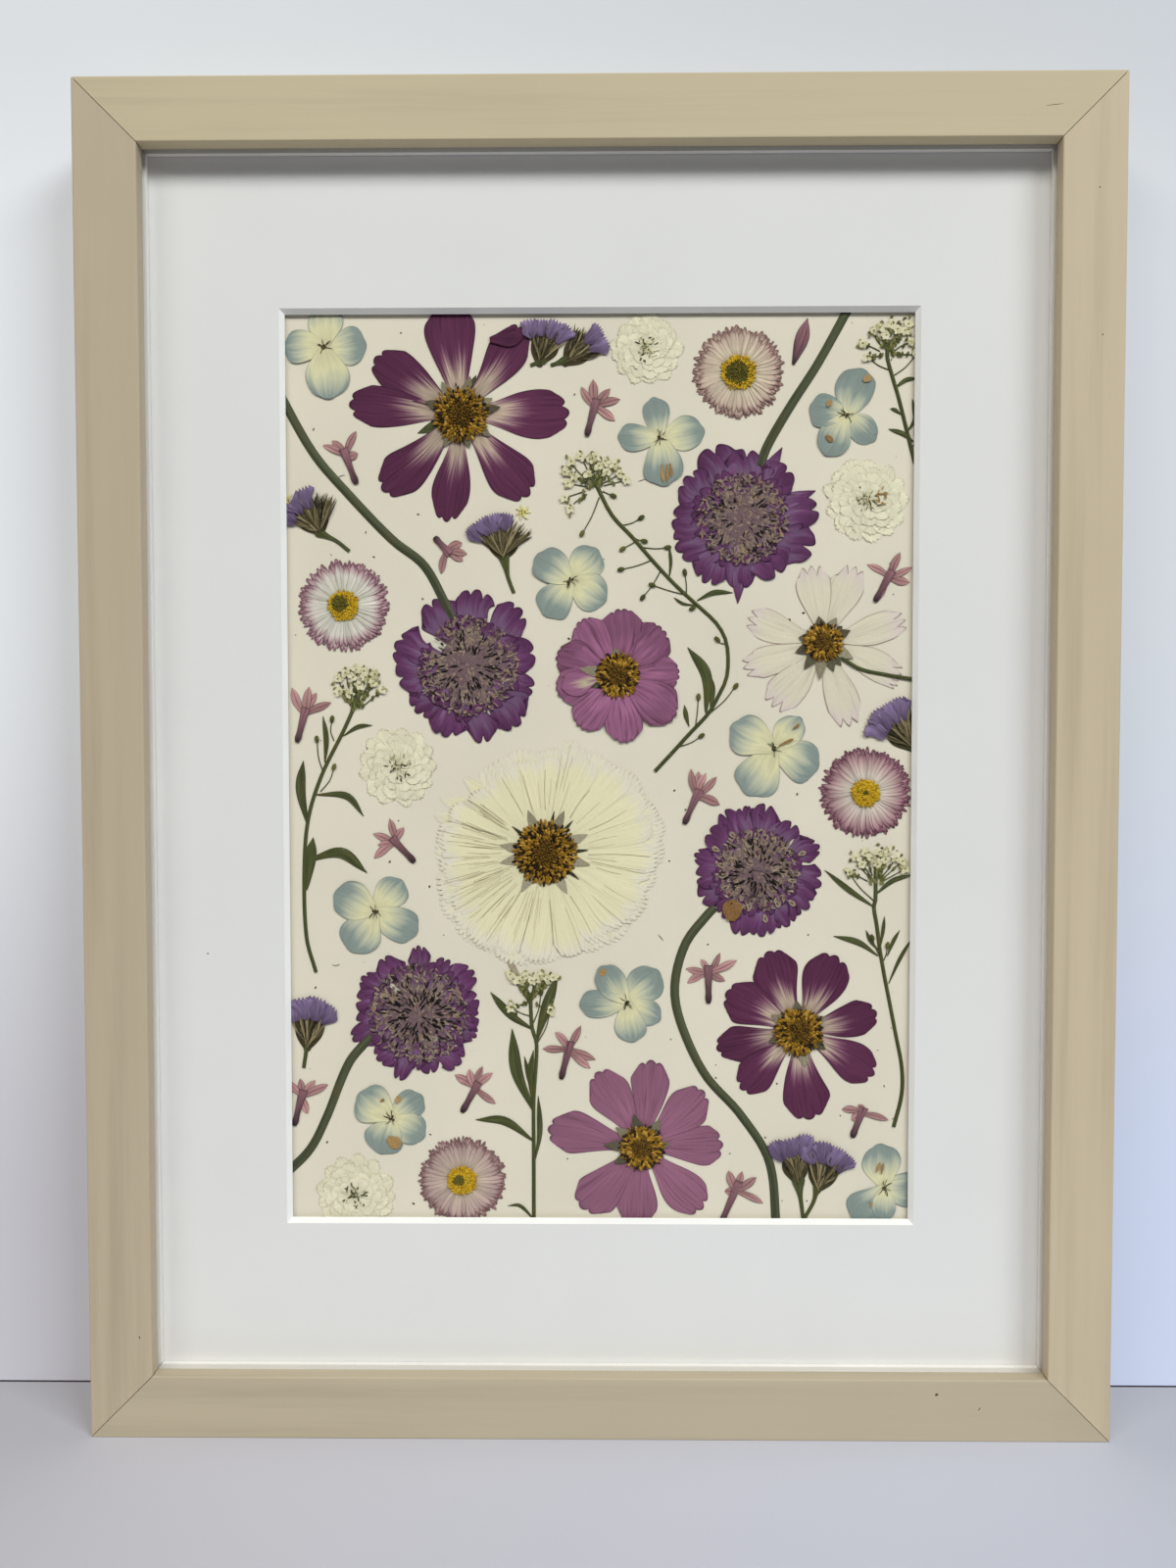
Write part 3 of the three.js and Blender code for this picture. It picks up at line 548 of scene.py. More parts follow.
class Pressing:
    """Gathers the flat parts and grains of one pressed flower and makes them one closed mesh.

    Each part names its look, which is one of the materials in looks that the flower uses.
    """

    def __init__(self, name, looks, used, seed):
        self.name = name
        self.materials = [looks[look] for look in used]
        self.numbers = {look: number for number, look in enumerate(used)}
        self.dice = random.Random(seed)
        self.mesh = bmesh.new()
        self.mesh.loops.layers.uv.new("petal")
        self.tone_layer = self.mesh.verts.layers.float.new("tone")
        self.grains = []

    def tone(self):
        """A tone of its own for a part that is given none."""
        return self.dice.random()

    def colour(self, verts, look, tone):
        """Gives new vertices their tone, and the faces round them their material."""
        for vert in verts:
            vert[self.tone_layer] = tone
        for face in {face for vert in verts for face in vert.link_faces}:
            face.material_index = self.numbers[look]

    def blade(self, points, width, form, height, look, tone=None, tilt=0.0, dome=0.0):
        """A flat part along a line: tilt lifts its right side, and dome lifts its middle."""
        line = Line(points)
        phases = [self.dice.uniform(0, math.tau) for _ in range(4)]  # of the slow waves in sides and surface
        made = bmesh.ops.create_grid(self.mesh, x_segments=form.across, y_segments=form.along, size=1.0,
                                     calc_uvs=True)["verts"]
        for vert in made:
            u, v = vert.co.x, (vert.co.y + 1) / 2
            reach = v * (1 - form.fall(u) * v ** 3 * (1 + 0.25 * math.sin(3 * u + phases[3])))
            x, z = line.at(reach)
            right_x, right_z = line.right(reach)
            half = width / 2 * smooth(form.profile, v) * (1 + form.waver * math.sin(7 * v + phases[0]))
            shift = half * (u + form.waver * math.sin(5 * v + phases[1]))
            wave = math.sin(6 * v + 2.4 * u + phases[1]) + math.sin(4.6 * u - 3 * v + phases[2])
            lift = height + tilt * u + dome * (1 - u * u) + form.ripple * wave / 2
            vert.co = (x + right_x * shift, -max(lift, LOWEST), z + right_z * shift)
        self.colour(made, look, self.tone() if tone is None else tone)

    def petal(self, centre, angle, start, reach, width, form, height, look, tone=None, tilt=0.0, bend=0.0):
        """A petal that points away from centre, from start to reach; bend swings its middle sideways."""
        middle = polar(centre, angle, (start + reach) / 2)
        points = [polar(centre, angle, start), polar(middle, angle + 90, bend), polar(centre, angle, reach)]
        self.blade(points, width, form, height, look, tone, tilt)

    def grain(self, place, height, size, look, angle=0.0, tone=None, detail=1):
        """An egg-shaped grain; size is its length, width and thickness."""
        length, width, thickness = size
        matrix = (Matrix.Translation((place[0], -height, place[1]))
                  @ Matrix.Rotation(-math.radians(angle), 4, "Y")
                  @ Matrix.Diagonal((length / 2, thickness / 2, width / 2, 1.0)))
        self.grains.append((matrix, look, self.tone() if tone is None else tone, detail))

    def shred(self, place, angle, length, width, height, look, tone):
        """A tiny petal or hair."""
        points = [polar(place, angle, -length / 2),
                  polar(place, angle + 90, self.dice.uniform(-0.15, 0.15) * length),
                  polar(place, angle, length / 2)]
        self.blade(points, width, SHRED_FORM, height, look, tone, self.dice.uniform(-0.12, 0.12))

    def finish(self, thickness, replaces=None):
        """Thickens the flat parts, adds the grains and hands the piece to the frame."""
        if self.mesh.faces:
            backs = bmesh.ops.extrude_face_region(self.mesh, geom=self.mesh.faces[:], use_keep_orig=True)
            back_verts = [item for item in backs["geom"] if isinstance(item, bmesh.types.BMVert)]
            bmesh.ops.translate(self.mesh, vec=(0, thickness / MM, 0), verts=back_verts)
        for matrix, look, tone, detail in self.grains:
            made = bmesh.ops.create_icosphere(self.mesh, subdivisions=detail, radius=1.0, matrix=matrix)
            self.colour(made["verts"], look, tone)
        bmesh.ops.transform(self.mesh, matrix=ON_SHEET, verts=self.mesh.verts)
        bmesh.ops.recalc_face_normals(self.mesh, faces=self.mesh.faces)
        for face in self.mesh.faces:
            face.smooth = True
        piece = new_piece(self.name, self.mesh, self.materials)
        piece.data.set_sharp_from_angle(angle=math.radians(48))
        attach(piece, "root")
        if replaces:
            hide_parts(replaces)


def new_piece(name, mesh, materials):
    """Object of its own from a bmesh, at the origin."""
    data = bpy.data.meshes.new(name)
    mesh.to_mesh(data)
    mesh.free()
    for material in materials:
        data.materials.append(material)
    piece = bpy.data.objects.new(name, data)
    bpy.context.scene.collection.objects.link(piece)
    return piece


def dress(name, material):
    """Gives a CAD node's object a material."""
    slots = NODES[name].data.materials
    slots.clear()
    slots.append(material)


# ---------------------------------------------------------------- wooden frame, stack and back
RAILS = [
    # name, whether it stands upright, and the painted light or shade that tints its face
    ("rail_top", False, (1.03, 1.0, 0.97)), ("rail_bottom", False, (0.91, 0.89, 0.93)),
    ("stile_left", True, (0.93, 0.88, 0.92)), ("stile_right", True, (1.05, 1.0, 1.02)),
]
LONG_EDGE = 250 * MM  # only the lengthwise edges of the moulding are longer
GLASS_ARRIS = 0.15 * MM


def clean_copy(node):
    """Mesh of a CAD node with its triangles joined into whole faces."""
    mesh = bmesh.new()
    mesh.from_mesh(NODES[node].data)
    bmesh.ops.remove_doubles(mesh, verts=mesh.verts, dist=0.01 * MM)
    bmesh.ops.dissolve_limit(mesh, angle_limit=math.radians(1), verts=mesh.verts, edges=mesh.edges)
    return mesh


def ease(mesh, edges, offset, segments):
    """Bevels edges of a mesh."""
    bmesh.ops.bevel(mesh, geom=edges, offset=offset, offset_type="OFFSET", segments=segments,
                    affect="EDGES", profile=0.5, material=-1, clamp_overlap=True)


def make_rail(name, upright, painted_light, settings):
    """A rail or stile with its long edges eased, as sanded wood has."""
    mesh = clean_copy(name)
    long_edges = [edge for edge in mesh.edges
                  if edge.calc_length() > LONG_EDGE and edge.calc_face_angle(0.0) > math.radians(60)]
    ease(mesh, long_edges, settings.easing, 3)
    piece = new_piece(name + "_wood", mesh, [wood_finish(name + "_grain", settings, upright, painted_light)])
    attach(piece, "root")
    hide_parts(name)


def make_glass():
    """The pane with a fine arris, seen by the camera but passed by light that bounces off the flowers."""
    mesh = clean_copy("glass_pane")
    ease(mesh, mesh.edges[:], GLASS_ARRIS, 1)
    pane = new_piece("glass_pane_clear", mesh, [glass_finish()])
    pane.visible_diffuse = False
    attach(pane, "root")
    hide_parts("glass_pane")


WOOD_MARKS = [
    # place from the window's middle, length, width, angle
    ((139.8, 204.8), 6.4, 0.22, 6), ((153.9, 179.8), 0.6, 0.5, 0), ((155.4, 135.1), 0.6, 0.5, 40),
    ((-147.3, -181), 1.1, 0.4, 100), ((107.4, -198.4), 1.3, 0.9, 20), ((121, -203), 1.6, 0.3, 50),
]


def make_wood_marks(looks):
    """A scratch, two pin holes and a few nicks in the front of the moulding."""
    pressing = Pressing("wood_marks", looks, ["crumb"], seed=50)
    wood_front = (SHEET_FRONT - CAD_BOX[0].y) / MM
    for place, length, width, angle in WOOD_MARKS:
        pressing.grain(place, wood_front, (length, width, 0.05), "crumb", angle, 0.45)
    pressing.finish(0.0)


# ---------------------------------------------------------------- tables of the flowers
# A petal is (angle, reach from the centre, greatest width).
COSMOS_PURPLE_LARGE = [(1, 35, 16), (53, 34.5, 12.5), (96, 35, 16), (147, 33, 14), (175, 36, 13.5),
                       (-136, 35, 14), (-98, 34.5, 12), (-50, 34, 14.5)]
COSMOS_PURPLE_SMALL = [(13, 26, 12), (64, 27.5, 15), (112, 28, 14.5), (152, 27, 14), (-167, 27.5, 11.5),
                       (-135, 27, 12), (-83, 29.5, 15), (-30, 28.5, 12.5)]
COSMOS_MAUVE = [(2, 26.5, 13), (43, 27.5, 13.5), (84, 29, 12.5), (121, 29, 13.5), (169, 31.5, 13.5),
                (-135, 28.5, 14.5), (-95, 26.5, 13.5), (-46, 28.5, 13.5)]
COSMOS_PINK = [(1, 20, 12.5), (45, 21, 14.5), (87, 21.5, 13.5), (125, 21.5, 13.5), (161, 21, 13),
               (-165, 20.5, 12.5), (-126, 21, 11.5), (-85, 22, 12.5), (-37, 23, 14.5)]
COSMOS_WHITE = [(-30, 28, 6), (15, 27.5, 10), (67, 26.5, 11), (99, 25, 11), (162, 25.5, 10), (-162, 27, 10),
                (-128, 26.5, 12), (-72, 28.5, 11), (-22, 27.5, 9)]
# Reach of the cream flower's edge by angle.
CREAM_REACH = [(-180, 37.2), (-150, 38), (-126, 39), (-100, 38.5), (-78, 38), (-45, 36.5), (-20, 38.5),
               (0, 39), (28, 39.5), (60, 38.5), (90, 36), (118, 34), (137, 32.5), (161, 36.5), (180, 37.2)]
# Angle, start and end of the darkest veins.
CREAM_VEINS = [(-2, 14, 34), (-10, 15, 33), (90, 14, 27), (55, 14, 25), (-105, 15, 34), (28, 16, 30),
               (-60, 16, 30), (120, 15, 28), (-85, 16, 30)]
CREAM_STRAPS = [(137, 36, 5.5), (152, 38.5, 5), (161, 38, 6), (146, 33, 5)]

COSMOS = [
    # name, slot, centre, disc radius, petals, form, look of the petals,
    # sepals (angle, reach, whether it shows through the petals)
    ("cosmos_purple_large", "purple_petal", (-44.5, 114.5), 8.5, COSMOS_PURPLE_LARGE, COSMOS_PETAL, "purple",
     [(26, 11.5, 1), (68, 13.5, 0), (75, 12.5, 1), (120, 12, 1), (160, 12, 1), (-157, 15, 0), (-117, 11.5, 1),
      (-75, 11, 1), (-36, 12, 1), (10, 13, 1)]),
    ("cosmos_purple_small", "purple_petal", (65, -84.5), 7.5, COSMOS_PURPLE_SMALL, COSMOS_PETAL, "purple",
     [(30, 9.5, 1), (95, 10, 1), (150, 10.5, 1), (-160, 10.5, 1), (-80, 12, 1), (-35, 10.5, 1)]),
    ("cosmos_mauve", "mauve_petal", (14, -123), 6.8, COSMOS_MAUVE, COSMOS_PETAL, "mauve",
     [(8, 9, 1), (58, 11, 1), (104, 11.5, 1), (142, 11, 1), (176, 12.5, 1), (-150, 10.5, 1)]),
    ("cosmos_pink", "mauve_petal", (6, 31), 6.8, COSMOS_PINK, BROAD_PETAL, "pink",
     [(170, 12.5, 1), (-160, 11, 1), (95, 9, 1)]),
    ("cosmos_white", "white_petal", (72, 41.5), 5.8, COSMOS_WHITE, TOOTHED_PETAL, "ivory",
     [(100, 8.5, 1), (62, 9, 1), (40, 8, 1), (24, 9.5, 1), (168, 8, 1), (-160, 9.5, 1), (-125, 10.5, 1),
      (-95, 12, 1), (-70, 10, 1), (-52, 9.5, 1), (-28, 11, 1), (-5, 10.5, 0)]),
]
WHITE_COSMOS_STALK = [(78, 36.5), (84, 33), (93, 31), (102.5, 29.4)]

SCABIOSAS = [
    # frizz is the frizzy middle's share of the radius, breadth a floret's, spikes are narrow pointed florets
    # (angle, reach), slits counts the dark gaps, and bare is the angle and half spread of a gap in the frizz.
    {
        "name": "scabiosa_left", "centre": (-42.5, 34), "radius": 24, "frizz": 0.62,
        "florets": (122, 83, 45, 12, -18, -48, -80, -108, -137, -168, 163),
        "breadth": 0.54, "spikes": [], "slits": 90, "bare": (146, 13),
        "stem": [(-104, 124), (-92, 102.5), (-80.5, 89), (-66.5, 74.5), (-56.5, 66.5), (-49.5, 54),
                 (-47, 49)],
    },
    {
        "name": "scabiosa_top", "centre": (46, 81), "radius": 23.5, "frizz": 0.56,
        "florets": (112, 84, 45, 9, -25, -58, -90, -122, -154, 177, 146),
        "breadth": 0.6, "spikes": [(61, 26), (21, 25), (-93, 27)], "slits": 45, "bare": (0, 0),
        "stem": [(81, 150.5), (70, 130.5), (61, 116.5), (54, 104.5), (51.5, 98)],
    },
    {
        "name": "scabiosa_right", "centre": (51, -32), "radius": 20.5, "frizz": 0.6,
        "florets": (99, 80, 54, 22, -11, -35, -62, -84, -106, -126, -150, -173, 166, 144, 122),
        "breadth": 0.5, "spikes": [(97, 21)], "slits": 90, "bare": (0, 0),
        "stem": [(37.5, -44), (36, -45.5), (28, -56), (24.5, -70), (26.5, -82), (34.5, -99), (46, -112),
                 (55.5, -127.5), (58, -149.5)],
    },
    {
        "name": "scabiosa_low", "centre": (-59, -79), "radius": 21.5, "frizz": 0.7,
        "florets": (121, 91, 60, 37, 15, -3, -23, -51, -80, -109, -131, -157, -172, 166, 147),
        "breadth": 0.43, "spikes": [], "slits": 170, "bare": (0, 0),
        "stem": [(-74.5, -86.5), (-76, -88), (-82, -95.5), (-89.5, -113.5), (-95, -124), (-104, -133)],
    },
]
FOLDED_TIP = [(-35, 138), (-29.5, 138.6), (-24, 139.2)]  # dark curled tip of a large purple petal
PALE_PATCH = (-168, 7.0, 18.5, 7.5)  # angle, start, end and width of the faded part of a cosmos_pink petal
RUSTY_FLORET = (43.2, -45)  # one browned petal of scabiosa_right

DAISIES = [
    # name, centre, radius, disc radius, olive spot's offset and radius, petal colours from foot to tip
    ("daisy_magenta", (-82.5, 53.5), 14.8, 4.9, (-1.2, 0.6), 2.7,
     grades((0.0, 150, 156, 138), (0.22, 212, 210, 194), (0.66, 218, 212, 200), (0.86, 188, 158, 160),
            (1.0, 128, 86, 102))),
    ("daisy_beige", (44.5, 127.5), 14.6, 5.6, (-0.4, -0.2), 3.6,
     grades((0.0, 172, 158, 130), (0.35, 212, 198, 174), (0.8, 202, 180, 162), (1.0, 132, 98, 96))),
    ("daisy_mauve", (86, -7), 14.8, 4.5, (0, 0), 0.8,
     grades((0.0, 184, 178, 160), (0.3, 214, 202, 188), (0.55, 200, 176, 168), (0.86, 164, 124, 132),
            (1.0, 104, 62, 78))),
    ("daisy_pink", (-45, -134), 14.4, 4.7, (-0.9, 0.2), 1.8,
     grades((0.0, 176, 158, 136), (0.35, 200, 180, 164), (0.8, 186, 160, 154), (1.0, 128, 94, 94))),
]

# Name, centre, radius and the middle of a brown spot.
DOUBLES = [("double_white_top", (15, 135), 11.4, None), ("double_white_right", (85.5, 87), 13.4, (90.5, 88)),
           ("double_white_left", (-65, 1.5), 12.6, None), ("double_white_low", (-80, -139), 13, None)]

HYDRANGEAS = [
    # centre, sepals, blemishes (x, z, length, width, angle), how far cream reaches
    ((-88, 136), [(3, 13.5, 12), (88, 14, 11), (178, 13, 11), (-85, 16.5, 14)], [], 0.13),
    ((19.5, 107), [(9, 14.5, 11), (100, 13, 8.5), (179, 13.5, 9), (-84, 15.5, 13)],
     [(20.3, 95.5, 5.5, 1.3, -85), (21.8, 95.5, 6, 1.0, -88), (23, 96.5, 4.5, 1.0, -84)], 0.0),
    ((79, 114), [(-41, 12.5, 9), (71, 15.5, 13), (168, 12, 11), (-118, 14.5, 10.5)],
     [(85.6, 125.4, 3, 2.4, 30), (73.5, 117.6, 2.4, 1.8, 60), (73.6, 106.4, 3, 1.8, -40)], -0.08),
    ((-9.5, 61.5), [(48, 13.5, 11), (-30, 13.5, 12), (-125, 14, 12), (143, 13.5, 12)], [], 0.02),
    ((56.5, 7), [(51, 13.5, 9.5), (-23, 15.5, 13.5), (-122, 17, 14.5), (150, 16, 13)],
     [(60.5, 9.5, 5, 1.0, 25), (63.5, 14.5, 2.6, 1.0, 35)], 0.08),
    ((-73, -45.5), [(49, 13.5, 10.5), (-29, 15.5, 12), (-122, 15.5, 13), (156, 14.5, 13)], [], 0.03),
    ((9, -75), [(45, 14.5, 12), (-29, 12.5, 8.5), (-82, 13.5, 10), (184, 15.5, 9.5), (129, 14.5, 10)],
     [(1.1, -65.4, 2.8, 2.2, 60)], 0.0),
    ((-68, -113.5), [(36, 12.5, 10), (-31, 12.5, 10.5), (-109, 12.5, 12.5), (143, 13.5, 13)],
     [(-67.2, -121.4, 5, 4.4, -30), (-65.8, -107.2, 2.6, 1.8, 70), (-71, -107.6, 1.6, 1.0, 30)], 0.02),
    ((93, -136), [(96, 14.5, 12.5), (-4, 12, 12), (-130, 15, 12.5), (-90, 11, 8)],
     [(91, -129.2, 3.6, 0.9, 70), (92.3, -129.6, 3.8, 0.9, 80), (88.8, -141.6, 2.0, 0.9, 90)], -0.06),
]

STATICES = [
    # fans: apex, angle, reach, half of the spread, petal angles from the fan's own; then the stalks
    ([((-90, 77), 112, 15, 46, (0, 22, 44))], [[(-90, 77), (-85, 74.5), (-80.5, 71)]]),
    ([((-31, 69), 90, 15, 50, (-4, 14, 32, 50))], [[(-31, 71), (-29.5, 63), (-27.5, 57.5)]]),
    ([((-19, 131), 73, 14.5, 34, (-26, -6, 16, 34)), ((-10.5, 131), 44, 15, 28, (-18, 0))],
     [[(-18, 131.5), (-22, 130)], [(-11, 131.5), (-15.5, 130)]]),
    ([((-95.5, -90), 84, 16.5, 30, (-26, -8, 10, 28))], [[(-95.5, -88), (-96, -92), (-96.8, -97)]]),
    ([((101, 7.5), 124, 17, 29, (-16, 0, 16, 30))], [[(99, 10), (102.5, 5)]]),
    ([((65, -134.5), 98, 16, 26, (-16, 4, 24)), ((71.5, -136.5), 72, 15.5, 34, (-28, -8, 12, 32))],
     [[(65, -134), (66, -141), (67, -149.5)], [(71.5, -135.5), (70, -141), (67, -146.5)]]),
]

SPRIGS = [
    # pods are (foot, pod) and leaves (foot, middle, tip, width); the flowers' stalks fan out from the hub
    {
        "name": "sprig_left",
        "stem": [(-76.5, 27.5), (-82.5, 14), (-90, -1), (-94.5, -15), (-96, -31.5), (-95.5, -54),
                 (-92.5, -65.5)],
        "flowers": [(-84.5, 30), (-82, 32), (-78.5, 33), (-75.5, 30.5), (-73, 28.5), (-70, 26.5), (-84, 26),
                    (-77.5, 28), (-81, 25), (-72.5, 31.5), (-79.5, 30.5), (-76, 32.5)],
        "hub": (-79, 19),
        "pods": [((-86, 10), (-86.5, 17)), ((-89.5, -0.5), (-91.5, 10.5)), ((-90.5, -6.5), (-86, 1.5))],
        "leaves": [((-83, 11.5), (-78, 14.5), (-73.5, 15), 1.4), ((-89, 3), (-88.5, 10), (-89.5, 18), 1.8),
                   ((-95, -16.5), (-97, -6), (-96, 3.5), 3.2),
                   ((-92, -7.5), (-82, -8), (-76.5, -14.5), 2.2),
                   ((-95.5, -38.5), (-94.5, -30), (-93, -21.5), 4.2),
                   ((-95, -29), (-84, -26.5), (-75.5, -33), 3.4)],
    },
    {
        "name": "sprig_centre",
        "stem": [(-3.5, 95), (-1.5, 93), (4, 82.5), (10.5, 75.5), (17, 68), (24, 60.5), (31, 54),
                 (37.5, 48), (40.5, 43), (41.5, 37.5), (41, 30), (38, 23.5), (35.5, 19), (29, 12),
                 (24.5, 7), (18, 0)],
        "flowers": [(-9, 99.5), (-6, 101), (-3, 100), (0, 98), (2.5, 96), (5, 98.5), (6.5, 95.5),
                    (8.5, 93.5), (-3.5, 95.5), (-8, 95), (-11, 96), (-1, 101), (2, 99.5), (-10, 92.5),
                    (-11, 88), (-9.5, 84.5)],
        "hub": (-1.5, 91),
        "pods": [((0, 88), (-5.5, 76.5)), ((1, 90), (4.5, 88.5)), ((7, 79), (13.5, 81.5)),
                 ((10, 76), (14.5, 74)), ((12, 74), (7.5, 71.5)), ((17, 68), (7, 65)), ((27, 57), (17, 60)),
                 ((28, 57), (27.5, 64)), ((31, 54), (30, 52.5)), ((41, 41), (38, 42.5)),
                 ((36, 19), (44, 27.5)), ((31, 14), (32, 24)), ((26, 8), (33, 11.5)), ((20, 65), (14, 56)),
                 ((14, 72), (22, 72))],
        "leaves": [((22.5, 62), (23, 67), (22.5, 72.5), 1.1), ((31.5, 55), (37, 57.5), (43, 57.5), 1.7),
                   ((30.5, 53.5), (27, 54), (24, 56), 1.0), ((34.5, 19), (34.5, 31), (28.5, 40), 3.4),
                   ((36, 20), (36.5, 26), (35.5, 31.5), 2.0), ((29, 14.5), (28, 18), (27.5, 21.5), 1.5)],
    },
    {
        "name": "sprig_top_right",
        "stem": [(92, 136), (92, 132), (93.5, 126.5), (95.5, 120), (98, 110.5), (101, 98.5)],
        "flowers": [(84, 136.5), (85.5, 132), (87.5, 140.5), (89.5, 141.5), (93, 142.5), (95, 141),
                    (97.5, 140.5), (99.5, 137), (91.5, 139), (98.5, 142.5), (101, 133)],
        "hub": (92, 133),
        "pods": [((93.5, 126), (101, 133)), ((93, 128), (86, 132)), ((101, 106), (101, 112)),
                 ((100, 104), (101.5, 106))],
        "leaves": [((94.5, 122.5), (98, 125), (101.5, 125.5), 1.5),
                   ((96.5, 114), (94.5, 115.5), (93, 116), 1.2),
                   ((100.5, 105.5), (97, 108), (92.5, 109.5), 1.6),
                   ((98.5, 108.5), (101, 113), (100, 119), 1.6)],
    },
    {
        "name": "sprig_right",
        "stem": [(89.5, -31), (89.5, -42), (89, -44), (90, -50), (91, -57.5), (92.5, -66), (94, -73.5),
                 (96.5, -86), (98.5, -96.5), (98.5, -105.5), (96, -116)],
        "flowers": [(81, -32.5), (83, -28), (86, -26.5), (88, -28), (90.5, -26), (93.5, -26), (96, -28),
                    (99, -31.5), (90, -30), (85, -30), (92.5, -28.5), (98, -29)],
        "hub": (89.5, -37),
        "pods": [((89, -42), (81, -33)), ((91, -60), (88.5, -54)), ((92, -62), (93.5, -56.5))],
        "leaves": [((89, -44), (81, -38.5), (73, -32), 1.9),
                   ((89.5, -40), (95, -35.5), (101.5, -33.5), 1.7),
                   ((90.5, -60), (84, -55.5), (76, -53.5), 1.9),
                   ((90.5, -58), (88, -55), (86.5, -51.5), 1.2), ((91, -57.5), (92, -52), (92.5, -47), 1.2),
                   ((93.5, -60), (95.5, -55), (97.5, -51.5), 1.2),
                   ((94, -69), (97.5, -61), (101.5, -54), 1.2)],
    },
    {
        "name": "sprig_low",
        "stem": [(-22.5, -72), (-22, -83.5), (-20.5, -89), (-21.5, -108), (-21.5, -122.5), (-21.5, -149.5)],
        "flowers": [(-28, -67.5), (-26, -68), (-24, -66.5), (-22, -68), (-19.5, -66.5), (-17, -67.5),
                    (-15, -67), (-28.5, -77), (-16, -78), (-25, -67), (-20.5, -67.8), (-18, -66.6),
                    (-29, -66)],
        "hub": (-22.3, -75),
        "pods": [((-22, -80), (-28.5, -77)), ((-20.5, -89), (-16, -78)), ((-21.5, -82), (-19, -72))],
        "leaves": [((-22, -84), (-29, -79.5), (-35.5, -72), 2.7),
                   ((-20.5, -88), (-17, -76), (-13.5, -66), 3.4),
                   ((-21.5, -111), (-27, -98), (-28.5, -84), 3.8),
                   ((-21, -107), (-23, -100), (-24.5, -93), 1.6),
                   ((-22, -108), (-22.5, -98), (-21.5, -91), 2.0),
                   ((-21.5, -121), (-31, -114.5), (-40.5, -114), 2.8),
                   ((-21, -127), (-19.5, -118), (-20, -106), 1.8),
                   ((-21.5, -147), (-26, -142.5), (-30, -142.5), 1.2)],
    },
]

FLORETS = [
    # tube's tip, mouth, lobes (angle, length)
    ((-4, 107.5), (-1.5, 117), [(125, 7.5), (93, 8.5), (48, 7.5), (15, 8.5), (-35, 8)]),
    ((-78, 92.5), (-81.5, 101.5), [(155, 8), (132, 6.5), (66, 8.5), (12, 4)]),
    ((-53, 75.5), (-49, 71), [(28, 5.5), (-8, 6.5), (-32, 6), (-105, 7.5)]),
    ((88.5, 54.5), (93, 62.5), [(150, 8), (65, 8.5), (22, 8), (-15, 7), (-112, 8)]),
    ((-98, 9.5), (-95.5, 18.5), [(115, 9.5), (80, 9), (60, 8), (24, 9.5)]),
    ((-60, -29.5), (-66, -23), [(105, 8), (62, 5.5), (160, 8), (188, 6), (216, 9)]),
    ((27.5, -17), (31.5, -8), [(102, 9), (86, 8), (68, 8), (44, 9), (-20, 8)]),
    ((-12.5, -100.5), (-10, -90.5), [(128, 7), (62, 8.5), (180, 8.5), (-22, 9.5), (-42, 9.5)]),
    ((-45, -111.5), (-40.5, -103.5), [(148, 8), (108, 6.5), (72, 7.5), (42, 7.5), (-38, 8.3)]),
    ((-100, -116), (-97.5, -106.5), [(95, 6), (50, 7), (25, 9.5), (-72, 6), (132, 7)]),
    ((35.5, -75.5), (35.5, -65.5), [(170, 7.5), (206, 7.6), (60, 7.5), (24, 10), (-26, 6), (120, 5)]),
    ((82.5, -119.5), (85.5, -111.5), [(168, 6.5), (85, 2.8), (-14, 9), (216, 4), (110, 3)]),
    ((39.5, -149), (44.5, -137), [(110, 6.7), (70, 6.5), (32, 8), (-25, 10), (185, 3.5)]),
]
FLORET_BUD = ((62, 130), (64, 136), (66.5, 144.5))

YELLOW_SCRAPS = [(-24.5, 83.4), (-100.6, 87.2)]
CRUMBS = [(-63.5, 140.5), (-7.9, 120.8), (-72.7, 69.2), (-75.2, 77.1), (-91.8, 110), (-58.3, 82.8),
          (18, -16.7), (24.3, -6.2), (22.7, -29.1), (-92.7, -70.6), (-89.3, -121.6), (-55.4, -119),
          (35.3, -56.3), (67.8, -53.1), (23.3, -87.4), (57.9, -101.9), (92.8, -102.6), (85, -90.2),
          (54.2, -119.7), (38, -100)]
MAT_FLECK = (-127, -59)
HAIRS = [((13.7, 93.6), 20), ((-95, 89.5), 60), ((-83, 95), 20), ((30, -122), 80), ((-86, -63), 5),
         ((20, -54), 130), ((88, 108), 10)]  # middle and angle
LOOSE_SHRED = ((-30, -61.5), (-28.3, -63.5), (-26.3, -66.5))


# ---------------------------------------------------------------- flower parts
# Heights above the paper: under the petals, on top of them, and on top of the frizz.
UNDER, ON_PETALS, THREADS, ON_FRIZZ = 0.12, 0.62, 0.6, 0.93
DISC_HEIGHT, DISC_DOME = 0.45, 0.7
# Height of a kind's lowest petals, and how much higher each next layer lies.
LAYERS = {
    "cosmos": (0.16, 0.07), "cream": (0.2, 0.14), "florets": (0.22, 0.12), "inner florets": (0.46, 0.06),
    "daisy": (0.18, 0.16), "double": (0.18, 0.14), "hydrangea": (0.16, 0.1), "statice": (0.8, 0.05),
    "tiny flower": (0.55, 0.05), "scrap": (0.2, 0.04),
}


def layer_height(kind, layer):
    """Height above the paper of a layer of petals, counted from 0."""
    lowest, step_up = LAYERS[kind]
    return lowest + step_up * layer


